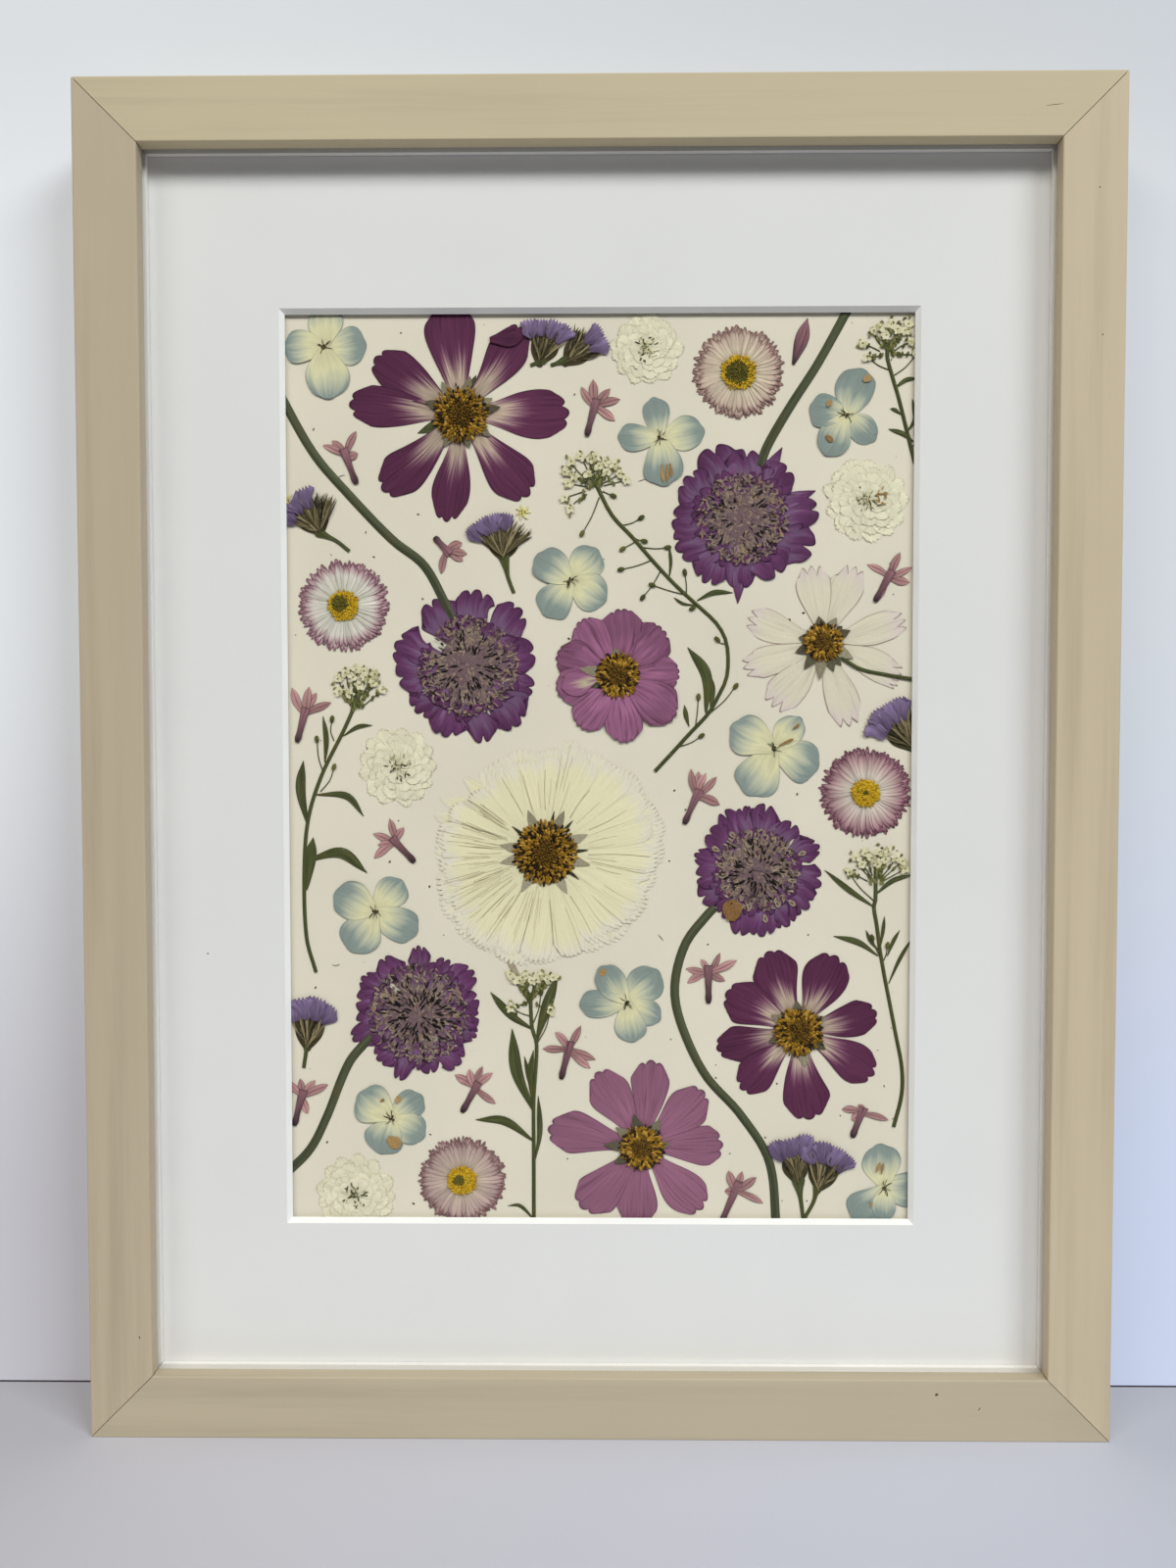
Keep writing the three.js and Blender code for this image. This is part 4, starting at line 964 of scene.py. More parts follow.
def golden_disc(pressing, centre, radius, look, count, tone_at, grain=0.95):
    """A firm centre: a low dome studded with grains in a golden-angle spiral."""
    pressing.grain(centre, DISC_HEIGHT, (radius * 1.75, radius * 1.75, 0.7), look, tone=0.3, detail=3)
    for i in range(count):
        share = math.sqrt((i + 0.5) / count)
        angle = i * GOLDEN_ANGLE
        place = polar(centre, angle, radius * share * pressing.dice.uniform(0.93, 1.05))
        size = grain * pressing.dice.uniform(0.75, 1.25)
        lift = DISC_HEIGHT + DISC_DOME * (1 - 0.55 * share * share)
        pressing.grain(place, lift, (size * (1 + share), size, size * 0.9), look,
                       angle + pressing.dice.uniform(-25, 25), tone_at(share, place))


def make_cosmos(index, row, looks, settings):
    """A single cosmos: toothed petals, the sepals behind them, and a firm centre with a dark ring."""
    name, slot, centre, disc, petals, form, petal_look, sepals = row
    pressing = Pressing(name + "_pressed", looks, [petal_look, "gold", "sepal", "leaf", "faded", "fold"],
                        seed=100 + index)
    dice = pressing.dice
    crowded = form is BROAD_PETAL
    for order, (angle, reach, width) in enumerate(petals):
        height = layer_height("cosmos", order if crowded else order % 2)
        pressing.petal(centre, angle, disc * 0.45, reach, width, form, height, petal_look,
                       tilt=dice.uniform(-0.05, 0.05), bend=dice.uniform(-0.6, 0.6))
    for angle, reach, seen_through in sepals:
        height, look = (ON_PETALS, "sepal") if seen_through else (UNDER, "leaf")
        pressing.petal(centre, angle, disc * 0.7, reach, 3.6, POINTED, height, look, dice.uniform(0.2, 0.9))

    def tone_at(share, _):
        if share < 0.5:
            return dice.uniform(0.2, 0.5)
        return dice.choice((0.04, 0.1, 0.45, 0.55, 0.62, 0.7, 0.8, 0.95))

    golden_disc(pressing, centre, disc, "gold", 230, tone_at)
    for _ in range(36):  # anthers round the disc
        angle = dice.uniform(0, 360)
        place = polar(centre, angle, disc * dice.uniform(0.95, 1.12))
        pressing.grain(place, 0.7, (1.5, 0.5, 0.4), "gold", angle, dice.choice((0.05, 0.2, 0.6, 0.75)))
    if name == "cosmos_purple_large":
        pressing.blade(FOLDED_TIP, 5.5, CRUMPLED_PETAL, ON_PETALS, "fold", 0.4, tilt=0.1)
    if name == "cosmos_pink":
        angle, start, end, width = PALE_PATCH
        pressing.petal(centre, angle, start, end, width, SEPAL_FORM, 0.95, "faded", 0.5)
    if name == "cosmos_white":
        pressing.blade(WHITE_COSMOS_STALK, 1.2, STEM_FORM, 0.5, "leaf", dome=0.3)
    pressing.finish(settings.petal_thickness, name)


def make_cream_flower(looks, settings):
    """The large cream flower: broad fringed petals in three layers and a few loose straps."""
    centre, disc = (-17.5, -26.5), 10.2
    pressing = Pressing("cosmos_cream_pressed", looks, ["cream", "gold", "sepal", "crumb"], seed=200)
    dice = pressing.dice
    for angle, reach, width in CREAM_STRAPS:
        pressing.petal(centre, angle, 12, reach, width, STRAP_PETAL, UNDER, "cream", bend=dice.uniform(-1, 1))
    rings = ((24, 1.0, 12.5), (22, 0.975, 11.5), (20, 0.95, 10.5))  # petals, share of the reach, width
    threads = 100
    for layer, (count, share, width) in enumerate(rings):
        for step in range(count):
            angle = -180 + (step + 0.37 * layer + dice.uniform(-0.2, 0.2)) * 360 / count
            angle = (angle + 180) % 360 - 180
            reach = smooth(CREAM_REACH, angle) * share * dice.uniform(0.92, 1.02)
            if 128 < angle < 168 and layer == 0:  # the straps lie here
                continue
            pressing.petal(centre, angle, disc * 0.5, reach, width * dice.uniform(0.8, 1.15), FRINGED_PETAL,
                           layer_height("cream", layer), "cream", tilt=0.06, bend=dice.uniform(-1, 1))
    for angle, start, end in CREAM_VEINS:
        pressing.petal(centre, angle, start, end, 0.12, THREAD_FORM, THREADS, "crumb", 0.8,
                       bend=dice.uniform(-0.5, 0.5))
    for step in range(threads):
        angle, start = dice.uniform(140, 262) if step % 3 else dice.uniform(0, 360), dice.uniform(12, 22)
        pressing.petal(centre, angle, start, start + dice.uniform(8, 15), 0.07, THREAD_FORM, THREADS, "crumb",
                       dice.uniform(1.0, 1.15), bend=dice.uniform(-0.3, 0.3))
    for angle in (112, 66, 24, -15, -62, 170, -168, -122):
        pressing.petal(centre, angle, disc * 0.8, 15, 3.2, POINTED, 0.68, "sepal", dice.uniform(0.75, 1.0))
    for angle in (78, 50, 141, 4, -38):
        pressing.petal(centre, angle, disc * 0.8, 14, 1.2, POINTED, 0.7, "sepal", 0.05)

    def tone_at(share, _):
        if share < 0.4:
            return dice.uniform(0.28, 0.5)
        return dice.choice((0.0, 0.04, 0.1, 0.5, 0.58, 0.66, 0.72, 0.8, 0.9))

    golden_disc(pressing, centre, disc, "gold", 420, tone_at, grain=0.9)
    pressing.finish(settings.petal_thickness, "cosmos_cream")


def make_scabiosa(index, row, looks, settings):
    """Ruffled florets round a frizzy middle of small curled petals with dark gaps."""
    name, centre, radius, frizz = row["name"], row["centre"], row["radius"], row["frizz"]
    gap_angle, gap_half = row["bare"]
    pressing = Pressing(name + "_pressed", looks, ["violet", "frill", "stem", "blemish"], seed=300 + index)
    dice = pressing.dice
    inner_florets, curls, shreds, loose_lobes = 15, 70, 720, 17

    def bare(angle, share):
        return share > frizz * 0.6 and abs((angle - gap_angle + 180) % 360 - 180) < gap_half

    pressing.blade(row["stem"], settings.stem_width / MM, STEM_FORM, 0.14, "stem", 0.5, dome=0.4)
    for angle, reach in row["spikes"]:
        pressing.petal(centre, angle, radius * 0.6, reach, 4.6, POINTED, 0.2, "violet",
                       dice.uniform(0.2, 0.6))
    for order, angle in enumerate(row["florets"]):
        width = radius * row["breadth"] * dice.uniform(0.8, 1.16)
        form = dice.choice((FLORET_PETAL, BROAD_FLORET))
        pressing.petal(centre, angle, radius * (frizz - 0.2), radius * dice.uniform(0.92, 1.09), width, form,
                       layer_height("florets", order % 2), "violet", dice.uniform(0.1, 0.8),
                       tilt=dice.uniform(-0.06, 0.06), bend=dice.uniform(-0.8, 0.8))
    for step in range(inner_florets):
        angle = step * 360 / inner_florets + dice.uniform(-8, 8)
        share = dice.uniform(frizz + 0.03, frizz + 0.17)
        if not bare(angle, share):
            pressing.petal(centre, angle, radius * (frizz - 0.32), radius * share, radius * 0.34,
                           BROAD_FLORET, layer_height("inner florets", step % 2), "violet",
                           dice.uniform(0.3, 1.0), bend=dice.uniform(-0.8, 0.8))
    middle = radius * frizz * 1.3
    pressing.grain(centre, ON_PETALS, (middle, middle, 0.5), "frill", tone=0.36, detail=3)
    for step in range(curls):
        angle = step * GOLDEN_ANGLE + dice.uniform(-8, 8)
        share = dice.uniform(0.1, frizz - 0.12)
        if not bare(angle, share + 0.2):
            place, aim = polar(centre, angle, radius * share), angle + dice.uniform(-55, 55)
            pressing.petal(place, aim, -radius * 0.05, radius * dice.uniform(0.05, 0.12), radius * 0.12,
                           FRILL_PETAL, 0.7 + dice.uniform(-0.05, 0.08), "frill", dice.uniform(0.26, 0.78),
                           tilt=dice.uniform(-0.1, 0.1))
    for _ in range(shreds):
        angle, share = dice.uniform(0, 360), math.sqrt(dice.random()) * (frizz + 0.05)
        tone = dice.choice((0.12, 0.24, 0.36, 0.42, 0.46, 0.5, 0.54, 0.58, 0.64, 0.7, 0.76, 0.84))
        swing = 80 if share > 0.24 else 180
        if not bare(angle, share):
            pressing.shred(polar(centre, angle, radius * share), angle + dice.uniform(-swing, swing),
                           dice.uniform(0.8, 2.3), dice.uniform(0.35, 0.95), 0.76 + dice.uniform(0, 0.16),
                           "frill", tone)
    for _ in range(row["slits"]):
        angle = dice.uniform(0, 360)
        place = polar(centre, angle, radius * dice.triangular(0.1, frizz, 0.3))
        pressing.grain(place, ON_FRIZZ, (dice.uniform(1.0, 3.4), dice.uniform(0.35, 0.8), 0.16), "frill",
                       angle + dice.uniform(-18, 18), 0.0)
    if name == "scabiosa_right":
        pressing.petal(RUSTY_FLORET, 80, -3.5, 3.5, 7, CRUMPLED_PETAL, 0.86, "blemish", 0.12)
        for step in range(loose_lobes):
            angle = step * 21.2 + dice.uniform(-6, 6)
            place = polar(centre, angle, radius * dice.uniform(0.52, 0.78))
            pressing.blade([polar(place, angle, -1.4), place, polar(place, angle, 1.4)], 1.7, LOBE_FORM, 0.8,
                           "frill", 0.74)
            pressing.grain(place, ON_FRIZZ, (1.5, 0.35, 0.16), "frill", angle, 0.05)
    pressing.finish(settings.petal_thickness, name)


def make_daisy(index, row, looks, settings):
    """A daisy: three layers of narrow petals round a golden centre with an olive spot."""
    name, centre, radius, disc, spot, spot_radius, stops = row
    petals = petal_finish(name + "_petals", stops, streak=0.16, hollow=0.12, veins=0.35, vein_count=9,
                          edge=rgb(112, 84, 84), edge_amount=0.4, edge_width=0.3, tip_width=0.05)
    looks = {**looks, "daisy": petals}
    pressing = Pressing(name + "_pressed", looks, ["daisy", "daisy_disc"], seed=400 + index)
    dice = pressing.dice
    rings = ((62, 1.02), (56, 1.0), (46, 0.95))  # petals and their reach as a share of the radius
    for layer, (count, share) in enumerate(rings):
        for step in range(count):
            angle = (step + 0.4 * layer) * 360 / count + dice.uniform(-2.2, 2.2)
            reach = radius * share * dice.uniform(0.9, 1.02)
            pressing.petal(centre, angle, disc * 0.75, reach, dice.uniform(1.4, 2.1), DAISY_PETAL,
                           layer_height("daisy", layer), "daisy", tilt=0.07,
                           bend=dice.uniform(-0.25, 0.25))

    def tone_at(_, place):
        away = math.dist(place, (centre[0] + spot[0], centre[1] + spot[1]))
        if away < spot_radius:
            return dice.uniform(0.22, 0.42)
        return dice.uniform(0.62, 0.9)

    golden_disc(pressing, centre, disc, "daisy_disc", 210, tone_at, grain=0.62)
    pressing.finish(settings.petal_thickness, name)


def make_double(index, row, looks, settings):
    """A small double flower: four rings of crumpled round petals and a dark-flecked middle."""
    name, centre, radius, brown_spot = row
    pressing = Pressing(name + "_pressed", looks, ["double_white", "umbel", "blemish"], seed=500 + index)
    dice = pressing.dice
    # Petals in each ring, and their reach and width as shares of the radius.
    rings = ((13, 1.04, 0.56), (12, 0.86, 0.5), (10, 0.67, 0.44), (8, 0.46, 0.36))
    shreds, spot_shreds = 46, 14
    for layer, (count, share, width) in enumerate(rings):
        for step in range(count):
            angle = (step + 0.45 * layer) * 360 / count + dice.uniform(-5, 5)
            reach = radius * share * dice.uniform(0.93, 1.05)
            pressing.petal(centre, angle, radius * 0.08, reach, radius * width * dice.uniform(0.85, 1.15),
                           CRUMPLED_PETAL, layer_height("double", layer), "double_white",
                           tilt=0.06, bend=dice.uniform(-0.4, 0.4))
    for _ in range(shreds):
        angle = dice.uniform(0, 360)
        place = polar(centre, angle, radius * dice.uniform(0.0, 0.34))
        pressing.shred(place, angle + dice.uniform(-60, 60), dice.uniform(0.8, 2.0), dice.uniform(0.3, 0.7),
                       0.78 + dice.uniform(0, 0.12), "umbel", dice.choice((0.02, 0.3, 0.6, 0.7, 0.85)))
    if brown_spot:
        for _ in range(spot_shreds):
            place = (brown_spot[0] + dice.gauss(0, 1.1), brown_spot[1] + dice.gauss(0, 1.4))
            pressing.shred(place, dice.uniform(0, 360), 1.4, 0.6, 0.86, "blemish", dice.uniform(0.3, 0.9))
    pressing.finish(settings.petal_thickness, name)


def make_hydrangea(index, row, looks, settings):
    """A hydrangea floret: rounded sepals, a knot in the middle and brown blemishes."""
    centre, sepals, blemishes, cream_reach = row
    name = f"hydrangea_{index + 1}"
    pressing = Pressing(name + "_pressed", looks, ["hydrangea", "calyx", "blemish"], seed=600 + index)
    dice = pressing.dice
    for order, (angle, reach, width) in enumerate(sepals):
        tone = min(max(0.5 - cream_reach * 2 + dice.uniform(-0.22, 0.22), 0.0), 1.0)
        pressing.petal(centre, angle, -0.8, reach, width, SEPAL_FORM, layer_height("hydrangea", order),
                       "hydrangea", tone, tilt=dice.uniform(-0.05, 0.05))
    for _ in range(9):  # the knot
        place = polar(centre, dice.uniform(0, 360), dice.uniform(0, 0.9))
        pressing.grain(place, 0.72, (0.8, 0.7, 0.5), "calyx", tone=dice.uniform(0.1, 0.6))
    for _ in range(7):  # stamens
        angle = dice.uniform(0, 360)
        pressing.shred(polar(centre, angle, 1.6), angle, dice.uniform(1.4, 3.0), 0.22, 0.66, "calyx", 0.1)
    for x, z, length, width, angle in blemishes:
        line = [polar((x, z), angle, -length / 2), (x, z), polar((x, z), angle, length / 2)]
        pressing.blade(line, width, LOBE_FORM, 0.72, "blemish", dice.uniform(0.25, 0.7))
    pressing.finish(settings.petal_thickness, name)


def make_statice(index, row, looks, settings):
    """Papery petals over a brush of calyxes that narrows into the stalk."""
    fans, stalks = row
    name = f"statice_{index + 1}"
    pressing = Pressing(name + "_pressed", looks, ["lavender", "calyx", "leaf"], seed=700 + index)
    dice = pressing.dice
    bristles = 110
    for line in stalks:
        pressing.blade(line, 1.5, THREAD_FORM, 0.22, "leaf", dome=0.25)
        head, neck = line[:2]
        pressing.blade([between(head, neck, -0.25), head, neck], min(5.0, 0.6 * math.dist(head, neck)),
                       WEDGE_FORM, 0.3, "leaf")
    for apex, aim, reach, spread, petal_angles in fans:
        for offset in (-0.6, 0, 0.6):
            pressing.petal(apex, aim + spread * offset, -1.5, reach * 0.66, reach * 0.36, LEAF_FORM, 0.2,
                           "calyx", 0.3)
        for step in range(bristles):
            angle = aim + spread * 1.05 * (2 * step / (bristles - 1) - 1) + dice.uniform(-4, 4)
            pressing.petal(apex, angle, dice.uniform(-0.5, 6.0), reach * dice.uniform(0.5, 0.86),
                           dice.uniform(0.25, 0.65), BRISTLE_FORM, 0.3 + dice.uniform(0, 0.4), "calyx",
                           dice.choice((0.04, 0.2, 0.35, 0.5, 0.62, 0.76, 0.95)),
                           bend=dice.uniform(-0.8, 0.8))
        for order, offset in enumerate(petal_angles):
            pressing.petal(apex, aim + offset, reach * 0.55, reach * dice.uniform(0.94, 1.06),
                           reach * dice.uniform(0.34, 0.44), PAPERY_PETAL,
                           layer_height("statice", order % 3), "lavender", dice.uniform(0.1, 0.9),
                           tilt=dice.uniform(-0.05, 0.05))
    pressing.finish(settings.petal_thickness, name)


def make_sprig(index, row, looks, settings):
    """A stem with long leaves, stalked pods and a flat-topped head of tiny white flowers."""
    name, hub, flowers = row["name"], row["hub"], row["flowers"]
    pressing = Pressing(name + "_pressed", looks, ["leaf", "umbel"], seed=800 + index)
    dice = pressing.dice
    stalk_width, buds = 0.4, 46
    pressing.blade(row["stem"], 1.25, STEM_FORM, 0.16, "leaf", 0.5, dome=0.4)
    for foot, middle, tip, width in row["leaves"]:
        pressing.blade([foot, middle, tip], width, LEAF_FORM, 0.2, "leaf", dome=0.12)
    for foot, pod in row["pods"]:
        x, z = between(foot, pod, 0.5)
        middle = (x + dice.uniform(-0.8, 0.8), z - 0.4)
        pressing.blade([foot, middle, pod], stalk_width, THREAD_FORM, 0.2, "leaf", dome=0.1)
        angle = math.degrees(math.atan2(pod[1] - middle[1], pod[0] - middle[0]))
        pressing.grain(pod, 0.45, (2.5, 1.5, 0.7), "umbel", angle, dice.uniform(0.1, 0.4), detail=2)
    for _ in range(buds):
        share, flower = dice.uniform(0.1, 0.85), dice.choice(flowers)
        pressing.grain(between(flower, hub, share), 0.4, (2.2, 1.0, 0.5), "umbel", dice.uniform(50, 130),
                       dice.uniform(0.1, 0.5))
    for flower in flowers:
        foot = between(hub, flower, 0.3)
        x, z = between(foot, flower, 0.5)
        middle = (x + dice.uniform(-0.7, 0.7), z)
        pressing.blade([foot, middle, flower], stalk_width, THREAD_FORM, 0.22, "leaf", dome=0.1)
        for _ in range(3):
            bud = polar(flower, dice.uniform(0, 360), dice.uniform(0.8, 2.4))
            pressing.grain(bud, 0.45, (1.5, 0.9, 0.5), "umbel", dice.uniform(0, 360), dice.uniform(0.2, 0.6))
        for step in range(6):
            angle = step * 360 / 6 + dice.uniform(-25, 25)
            pressing.petal(flower, angle, 0.1, dice.uniform(1.1, 2.1), dice.uniform(1.1, 1.7), SHRED_FORM,
                           layer_height("tiny flower", step), "umbel", dice.uniform(0.62, 0.95))
        pressing.grain(flower, 0.85, (0.7, 0.6, 0.3), "umbel", tone=dice.uniform(0.4, 0.6))
    pressing.finish(settings.petal_thickness, name)


def make_florets(looks, settings):
    """The small pink florets: a dusky tube that opens into narrow lobes."""
    pressing = Pressing("pink_florets", looks, ["blush", "tube"], seed=900)
    dice = pressing.dice
    for tip, mouth, lobes in FLORETS:
        for angle, length in lobes:
            foot, end = polar(mouth, angle, -0.8), polar(mouth, angle, length)
            middle = polar(between(foot, end, 0.5), angle + 90, dice.uniform(-0.5, 0.5))
            pressing.blade([foot, middle, end], dice.uniform(2.1, 3.0), LOBE_FORM,
                           0.2 + dice.uniform(0, 0.25), "blush", tilt=dice.uniform(-0.05, 0.05))
        line = [tip, between(tip, mouth, 0.5), between(tip, mouth, 1.25)]
        pressing.blade(line, 3.0, TUBE_FORM, 0.4, "tube", dome=0.25)
    pressing.blade(FLORET_BUD, 4.2, LEAF_FORM, 0.2, "tube", 0.9, dome=0.3)
    pressing.finish(settings.petal_thickness)


def make_specks(looks, settings):
    """Crumbs, hairs and yellow scraps left on the paper, and one fleck on the mat."""
    pressing = Pressing("paper_specks", looks, ["crumb", "scrap"], seed=950)
    dice = pressing.dice
    for _ in range(settings.specks):
        place = (dice.uniform(-99, 99), dice.uniform(-144, 144))
        size = dice.choice((0.25, 0.35, 0.45, 0.7))
        pressing.grain(place, 0.1, (size * 1.5, size, 0.15), "crumb", dice.uniform(0, 360),
                       dice.uniform(0, 0.9))
    for place in CRUMBS:
        pressing.grain(place, 0.12, (dice.uniform(0.6, 1.1), dice.uniform(0.35, 0.6), 0.2), "crumb",
                       dice.uniform(0, 360), dice.uniform(0, 0.3))
    mat_front = (SHEET_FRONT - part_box("mat_board")[0].y) / MM
    pressing.grain(MAT_FLECK, mat_front, (0.7, 0.5, 0.1), "crumb", tone=0.4)
    for place, angle in HAIRS:
        pressing.shred(place, angle, 2.6, 0.16, 0.14, "crumb", 0.05)
    for place in YELLOW_SCRAPS:
        for step in range(7):
            angle = step * 51
            pressing.shred(polar(place, angle, 1.3), angle, 2.6, 0.8, layer_height("scrap", step), "scrap",
                           dice.uniform(0.2, 0.9))
        for angle in (10, 130, 250):
            pressing.grain(polar(place, angle, 0.6), 0.5, (0.5, 0.4, 0.2), "crumb", angle, 0.1)
    pressing.blade(LOOSE_SHRED, 2.2, SHRED_FORM, 0.2, "crumb", 0.95)
    pressing.finish(settings.petal_thickness)


# ---------------------------------------------------------------- operators
def flower_looks(flowers):
    """Materials that several flowers share."""
    def plain(name):
        return tuple(getattr(flowers, name))

    purple, throat, mauve, pink = plain("purple"), plain("throat"), plain("mauve"), plain("pink")
    ivory, cream, violet, blue = plain("ivory"), plain("cream"), plain("violet"), plain("blue")
    butter, lavender, white, blush = plain("butter"), plain("lavender"), plain("double_white"), plain("blush")
    return {
        "purple": petal_finish(
            "purple_petals",
            [(0.0, rgb(104, 92, 78)), (0.12, shaded(throat, 0.75)), (0.3, throat), (0.42, rgb(152, 122, 124)),
             (0.52, rgb(116, 74, 94)), (0.62, purple), (1.0, shaded(purple, 0.88))],
            flame=0.7, hollow=0.3, veins=0.5, vein_count=26,
            edge=shaded(purple, 0.35), edge_amount=0.8, edge_width=0.07, tip_width=0.03),
        "fold": petal_finish(
            "folded_tip", tints(purple, (0.0, 0.8), (0.5, 0.6), (1.0, 0.85)), streak=0.4,
            edge=shaded(purple, 0.35), edge_amount=0.8, shade=0.0),
        "faded": petal_finish(
            "faded_patch",
            [(0.0, shaded(pink, 1.1)), (0.2, rgb(170, 140, 136)), (0.36, rgb(194, 182, 150)),
             (0.5, rgb(184, 160, 146)), (0.75, shaded(pink, 1.35)), (1.0, shaded(pink, 1.25))],
            streak=0.3, flame=0.2, hollow=0.7, shade=0.0),
        "mauve": petal_finish(
            "mauve_petals", tints(mauve, (0.0, 0.55), (0.25, 1.1), (0.6, 1.0), (1.0, 0.95)),
            flame=0.3, veins=0.5, edge=shaded(mauve, 0.45), edge_amount=0.8, edge_width=0.08),
        # painted highlight: the paler stops at 0.2 and 0.4, broken into streaks by flame, stand in for sheen
        # along the petals
        "pink": petal_finish(
            "pink_petals", tints(pink, (0.0, 0.55), (0.2, 1.2), (0.4, 1.35), (0.65, 1.0), (1.0, 1.02)),
            streak=0.4, flame=0.6, hollow=0.2, veins=0.7, vein_count=15,
            edge=shaded(pink, 0.4), edge_amount=0.85, edge_width=0.09, shade=0.4),
        "ivory": petal_finish(
            "ivory_petals", [*tints(ivory, (0.0, 0.86), (0.4, 1.0), (0.75, 1.0)), (1.0, rgb(222, 206, 200))],
            streak=0.1, veins=0.18, vein_count=12,
            edge=rgb(138, 112, 102), edge_amount=0.9, edge_width=0.07, tip_width=0.035, shade=0.06),
        "cream": petal_finish(
            "cream_petals", [*tints(cream, (0.0, 0.9), (0.5, 1.0), (0.82, 1.0)), (1.0, rgb(230, 224, 204))],
            streak=0.1, veins=0.17, vein_count=34,
            edge=rgb(190, 180, 148), edge_amount=0.25, edge_width=0.04, tip_width=0.012, shade=0.05),
        "violet": petal_finish(
            "scabiosa_petals",
            [(0.0, shaded(violet, 1.7)), (0.4, rgb(120, 92, 122)), *tints(violet, (0.7, 1.05), (1.0, 0.75))],
            streak=0.45, flame=0.2, hollow=0.12, veins=0.4, vein_count=14,
            edge=shaded(violet, 0.3), edge_amount=0.85, edge_width=0.09, tip_width=0.06,
            tone_shift=0.3, shade=0.4),
        "hydrangea": petal_finish(
            "hydrangea_sepals",
            [*tints(butter, (0.0, 0.9), (0.28, 1.0)), (0.5, rgb(198, 199, 172)),
             *tints(blue, (0.76, 1.0), (1.0, 0.9))],
            streak=0.22, flame=0.12, hollow=0.12, veins=0.16, vein_count=16,
            edge=shaded(blue, 0.45), edge_amount=0.7, edge_width=0.05, tip_width=0.025,
            tone_shift=0.7, shade=0.0),
        "double_white": petal_finish(
            "white_double_petals", tints(white, (0.0, 0.8), (0.4, 1.0), (1.0, 1.05)),
            streak=0.1, veins=0.2, vein_count=10, edge=rgb(138, 120, 88), edge_width=0.08, shade=0.12),
        "lavender": petal_finish(
            "statice_petals", tints(lavender, (0.0, 0.6), (0.45, 1.0), (0.75, 1.1), (1.0, 1.5)),
            streak=0.5, flame=0.5, veins=0.6, vein_count=10,
            edge=shaded(lavender, 0.4), edge_amount=0.75, tip_width=0.06, shade=0.5),
        "scrap": petal_finish(
            "yellow_scrap", grades((0.0, 214, 196, 92), (0.5, 222, 212, 140), (1.0, 228, 222, 176)),
            shade=0.1),
        "blush": petal_finish(
            "floret_lobes", tints(blush, (0.0, 0.55), (0.35, 0.9), (1.0, 1.2)),
            streak=0.4, flame=0.4, veins=0.7, vein_count=6,
            edge=shaded(blush, 0.3), edge_amount=0.85, edge_width=0.26, midline=0.8, shade=0.4),
        "tube": petal_finish(
            "floret_tubes",
            grades((0.0, 42, 34, 36), (0.2, 94, 70, 76), (0.6, 124, 90, 97), (1.0, 144, 104, 110)),
            veins=0.8, vein_count=5, edge=rgb(60, 44, 54), edge_amount=0.7, edge_width=0.3),
        "gold": tone_finish("disc_florets", DISC_GOLD),
        "daisy_disc": tone_finish("daisy_disc_florets", DISC_DAISY, 0.2),
        "frill": tone_finish("scabiosa_frill", FRILL, 0.3),
        "calyx": tone_finish("calyx_bristles", CALYX),
        "umbel": tone_finish("tiny_flowers", UMBEL, 0.15),
        "crumb": tone_finish("paper_crumbs", CRUMB),
        "sepal": tone_finish("dried_sepals", SEPAL, 0.5),
        "blemish": tone_finish("brown_blemishes", BLEMISH, 0.8),
        "leaf": green_finish("dried_leaf", plain("leaf"), 5.0),
        "stem": green_finish("thick_stem", plain("stem"), 4.0, 1.45),
    }


LOOKS = {}


def shared_looks(context):
    """The flowers' shared materials, made the first time they are asked for."""
    if not LOOKS:
        LOOKS.update(flower_looks(context.scene.pressed_flowers))
    return LOOKS


def press(context, make, rows):
    """Makes one piece from each row of a table."""
    for index, row in enumerate(rows):
        make(index, row, shared_looks(context), context.scene.pressed_flowers)
    return {"FINISHED"}


class PRESSED_OT_wood(bpy.types.Operator):
    """Make the four lengths of wooden moulding with eased edges and grain"""
    bl_idname = "pressed.wood"
    bl_label = "Wooden moulding"

    def execute(self, context):
        for name, upright, painted_light in RAILS:
            make_rail(name, upright, painted_light, context.scene.pressed_frame)
        make_wood_marks(shared_looks(context))
        return {"FINISHED"}


class PRESSED_OT_stack(bpy.types.Operator):
    """Finish the glass, spacers, mat, paper, backing board and steel fittings"""
    bl_idname = "pressed.stack"
    bl_label = "Glass, mat, paper and back"

    def execute(self, context):
        settings = context.scene.pressed_frame
        make_glass()
        dress("mat_board", card_finish("mat_board_face", settings.mat, mottle=0.02, core=rgb(250, 249, 246)))
        dress("mounting_sheet", card_finish("cream_paper", settings.paper, fibre=1800.0, cockle=1.5))
        dress("backing_board", hardboard_finish(settings.hardboard))
        spacer_card = card_finish("spacer_card", settings.spacer, mottle=0.06)
        steel = steel_finish(settings.steel)
        for name in NODES:
            if name.startswith("spacer_"):
                dress(name, spacer_card)
            if name == "hanger" or name.startswith("retaining_tab_"):
                dress(name, steel)
        return {"FINISHED"}


class PRESSED_OT_cosmos(bpy.types.Operator):
    """Press the single cosmos flowers and the large cream one"""
    bl_idname = "pressed.cosmos"
    bl_label = "Cosmos flowers"

    def execute(self, context):
        press(context, make_cosmos, COSMOS)
        make_cream_flower(shared_looks(context), context.scene.pressed_flowers)
        return {"FINISHED"}


class PRESSED_OT_scabiosas(bpy.types.Operator):
    """Press the violet scabiosa heads with their stems"""
    bl_idname = "pressed.scabiosas"
    bl_label = "Scabiosas"

    def execute(self, context):
        return press(context, make_scabiosa, SCABIOSAS)


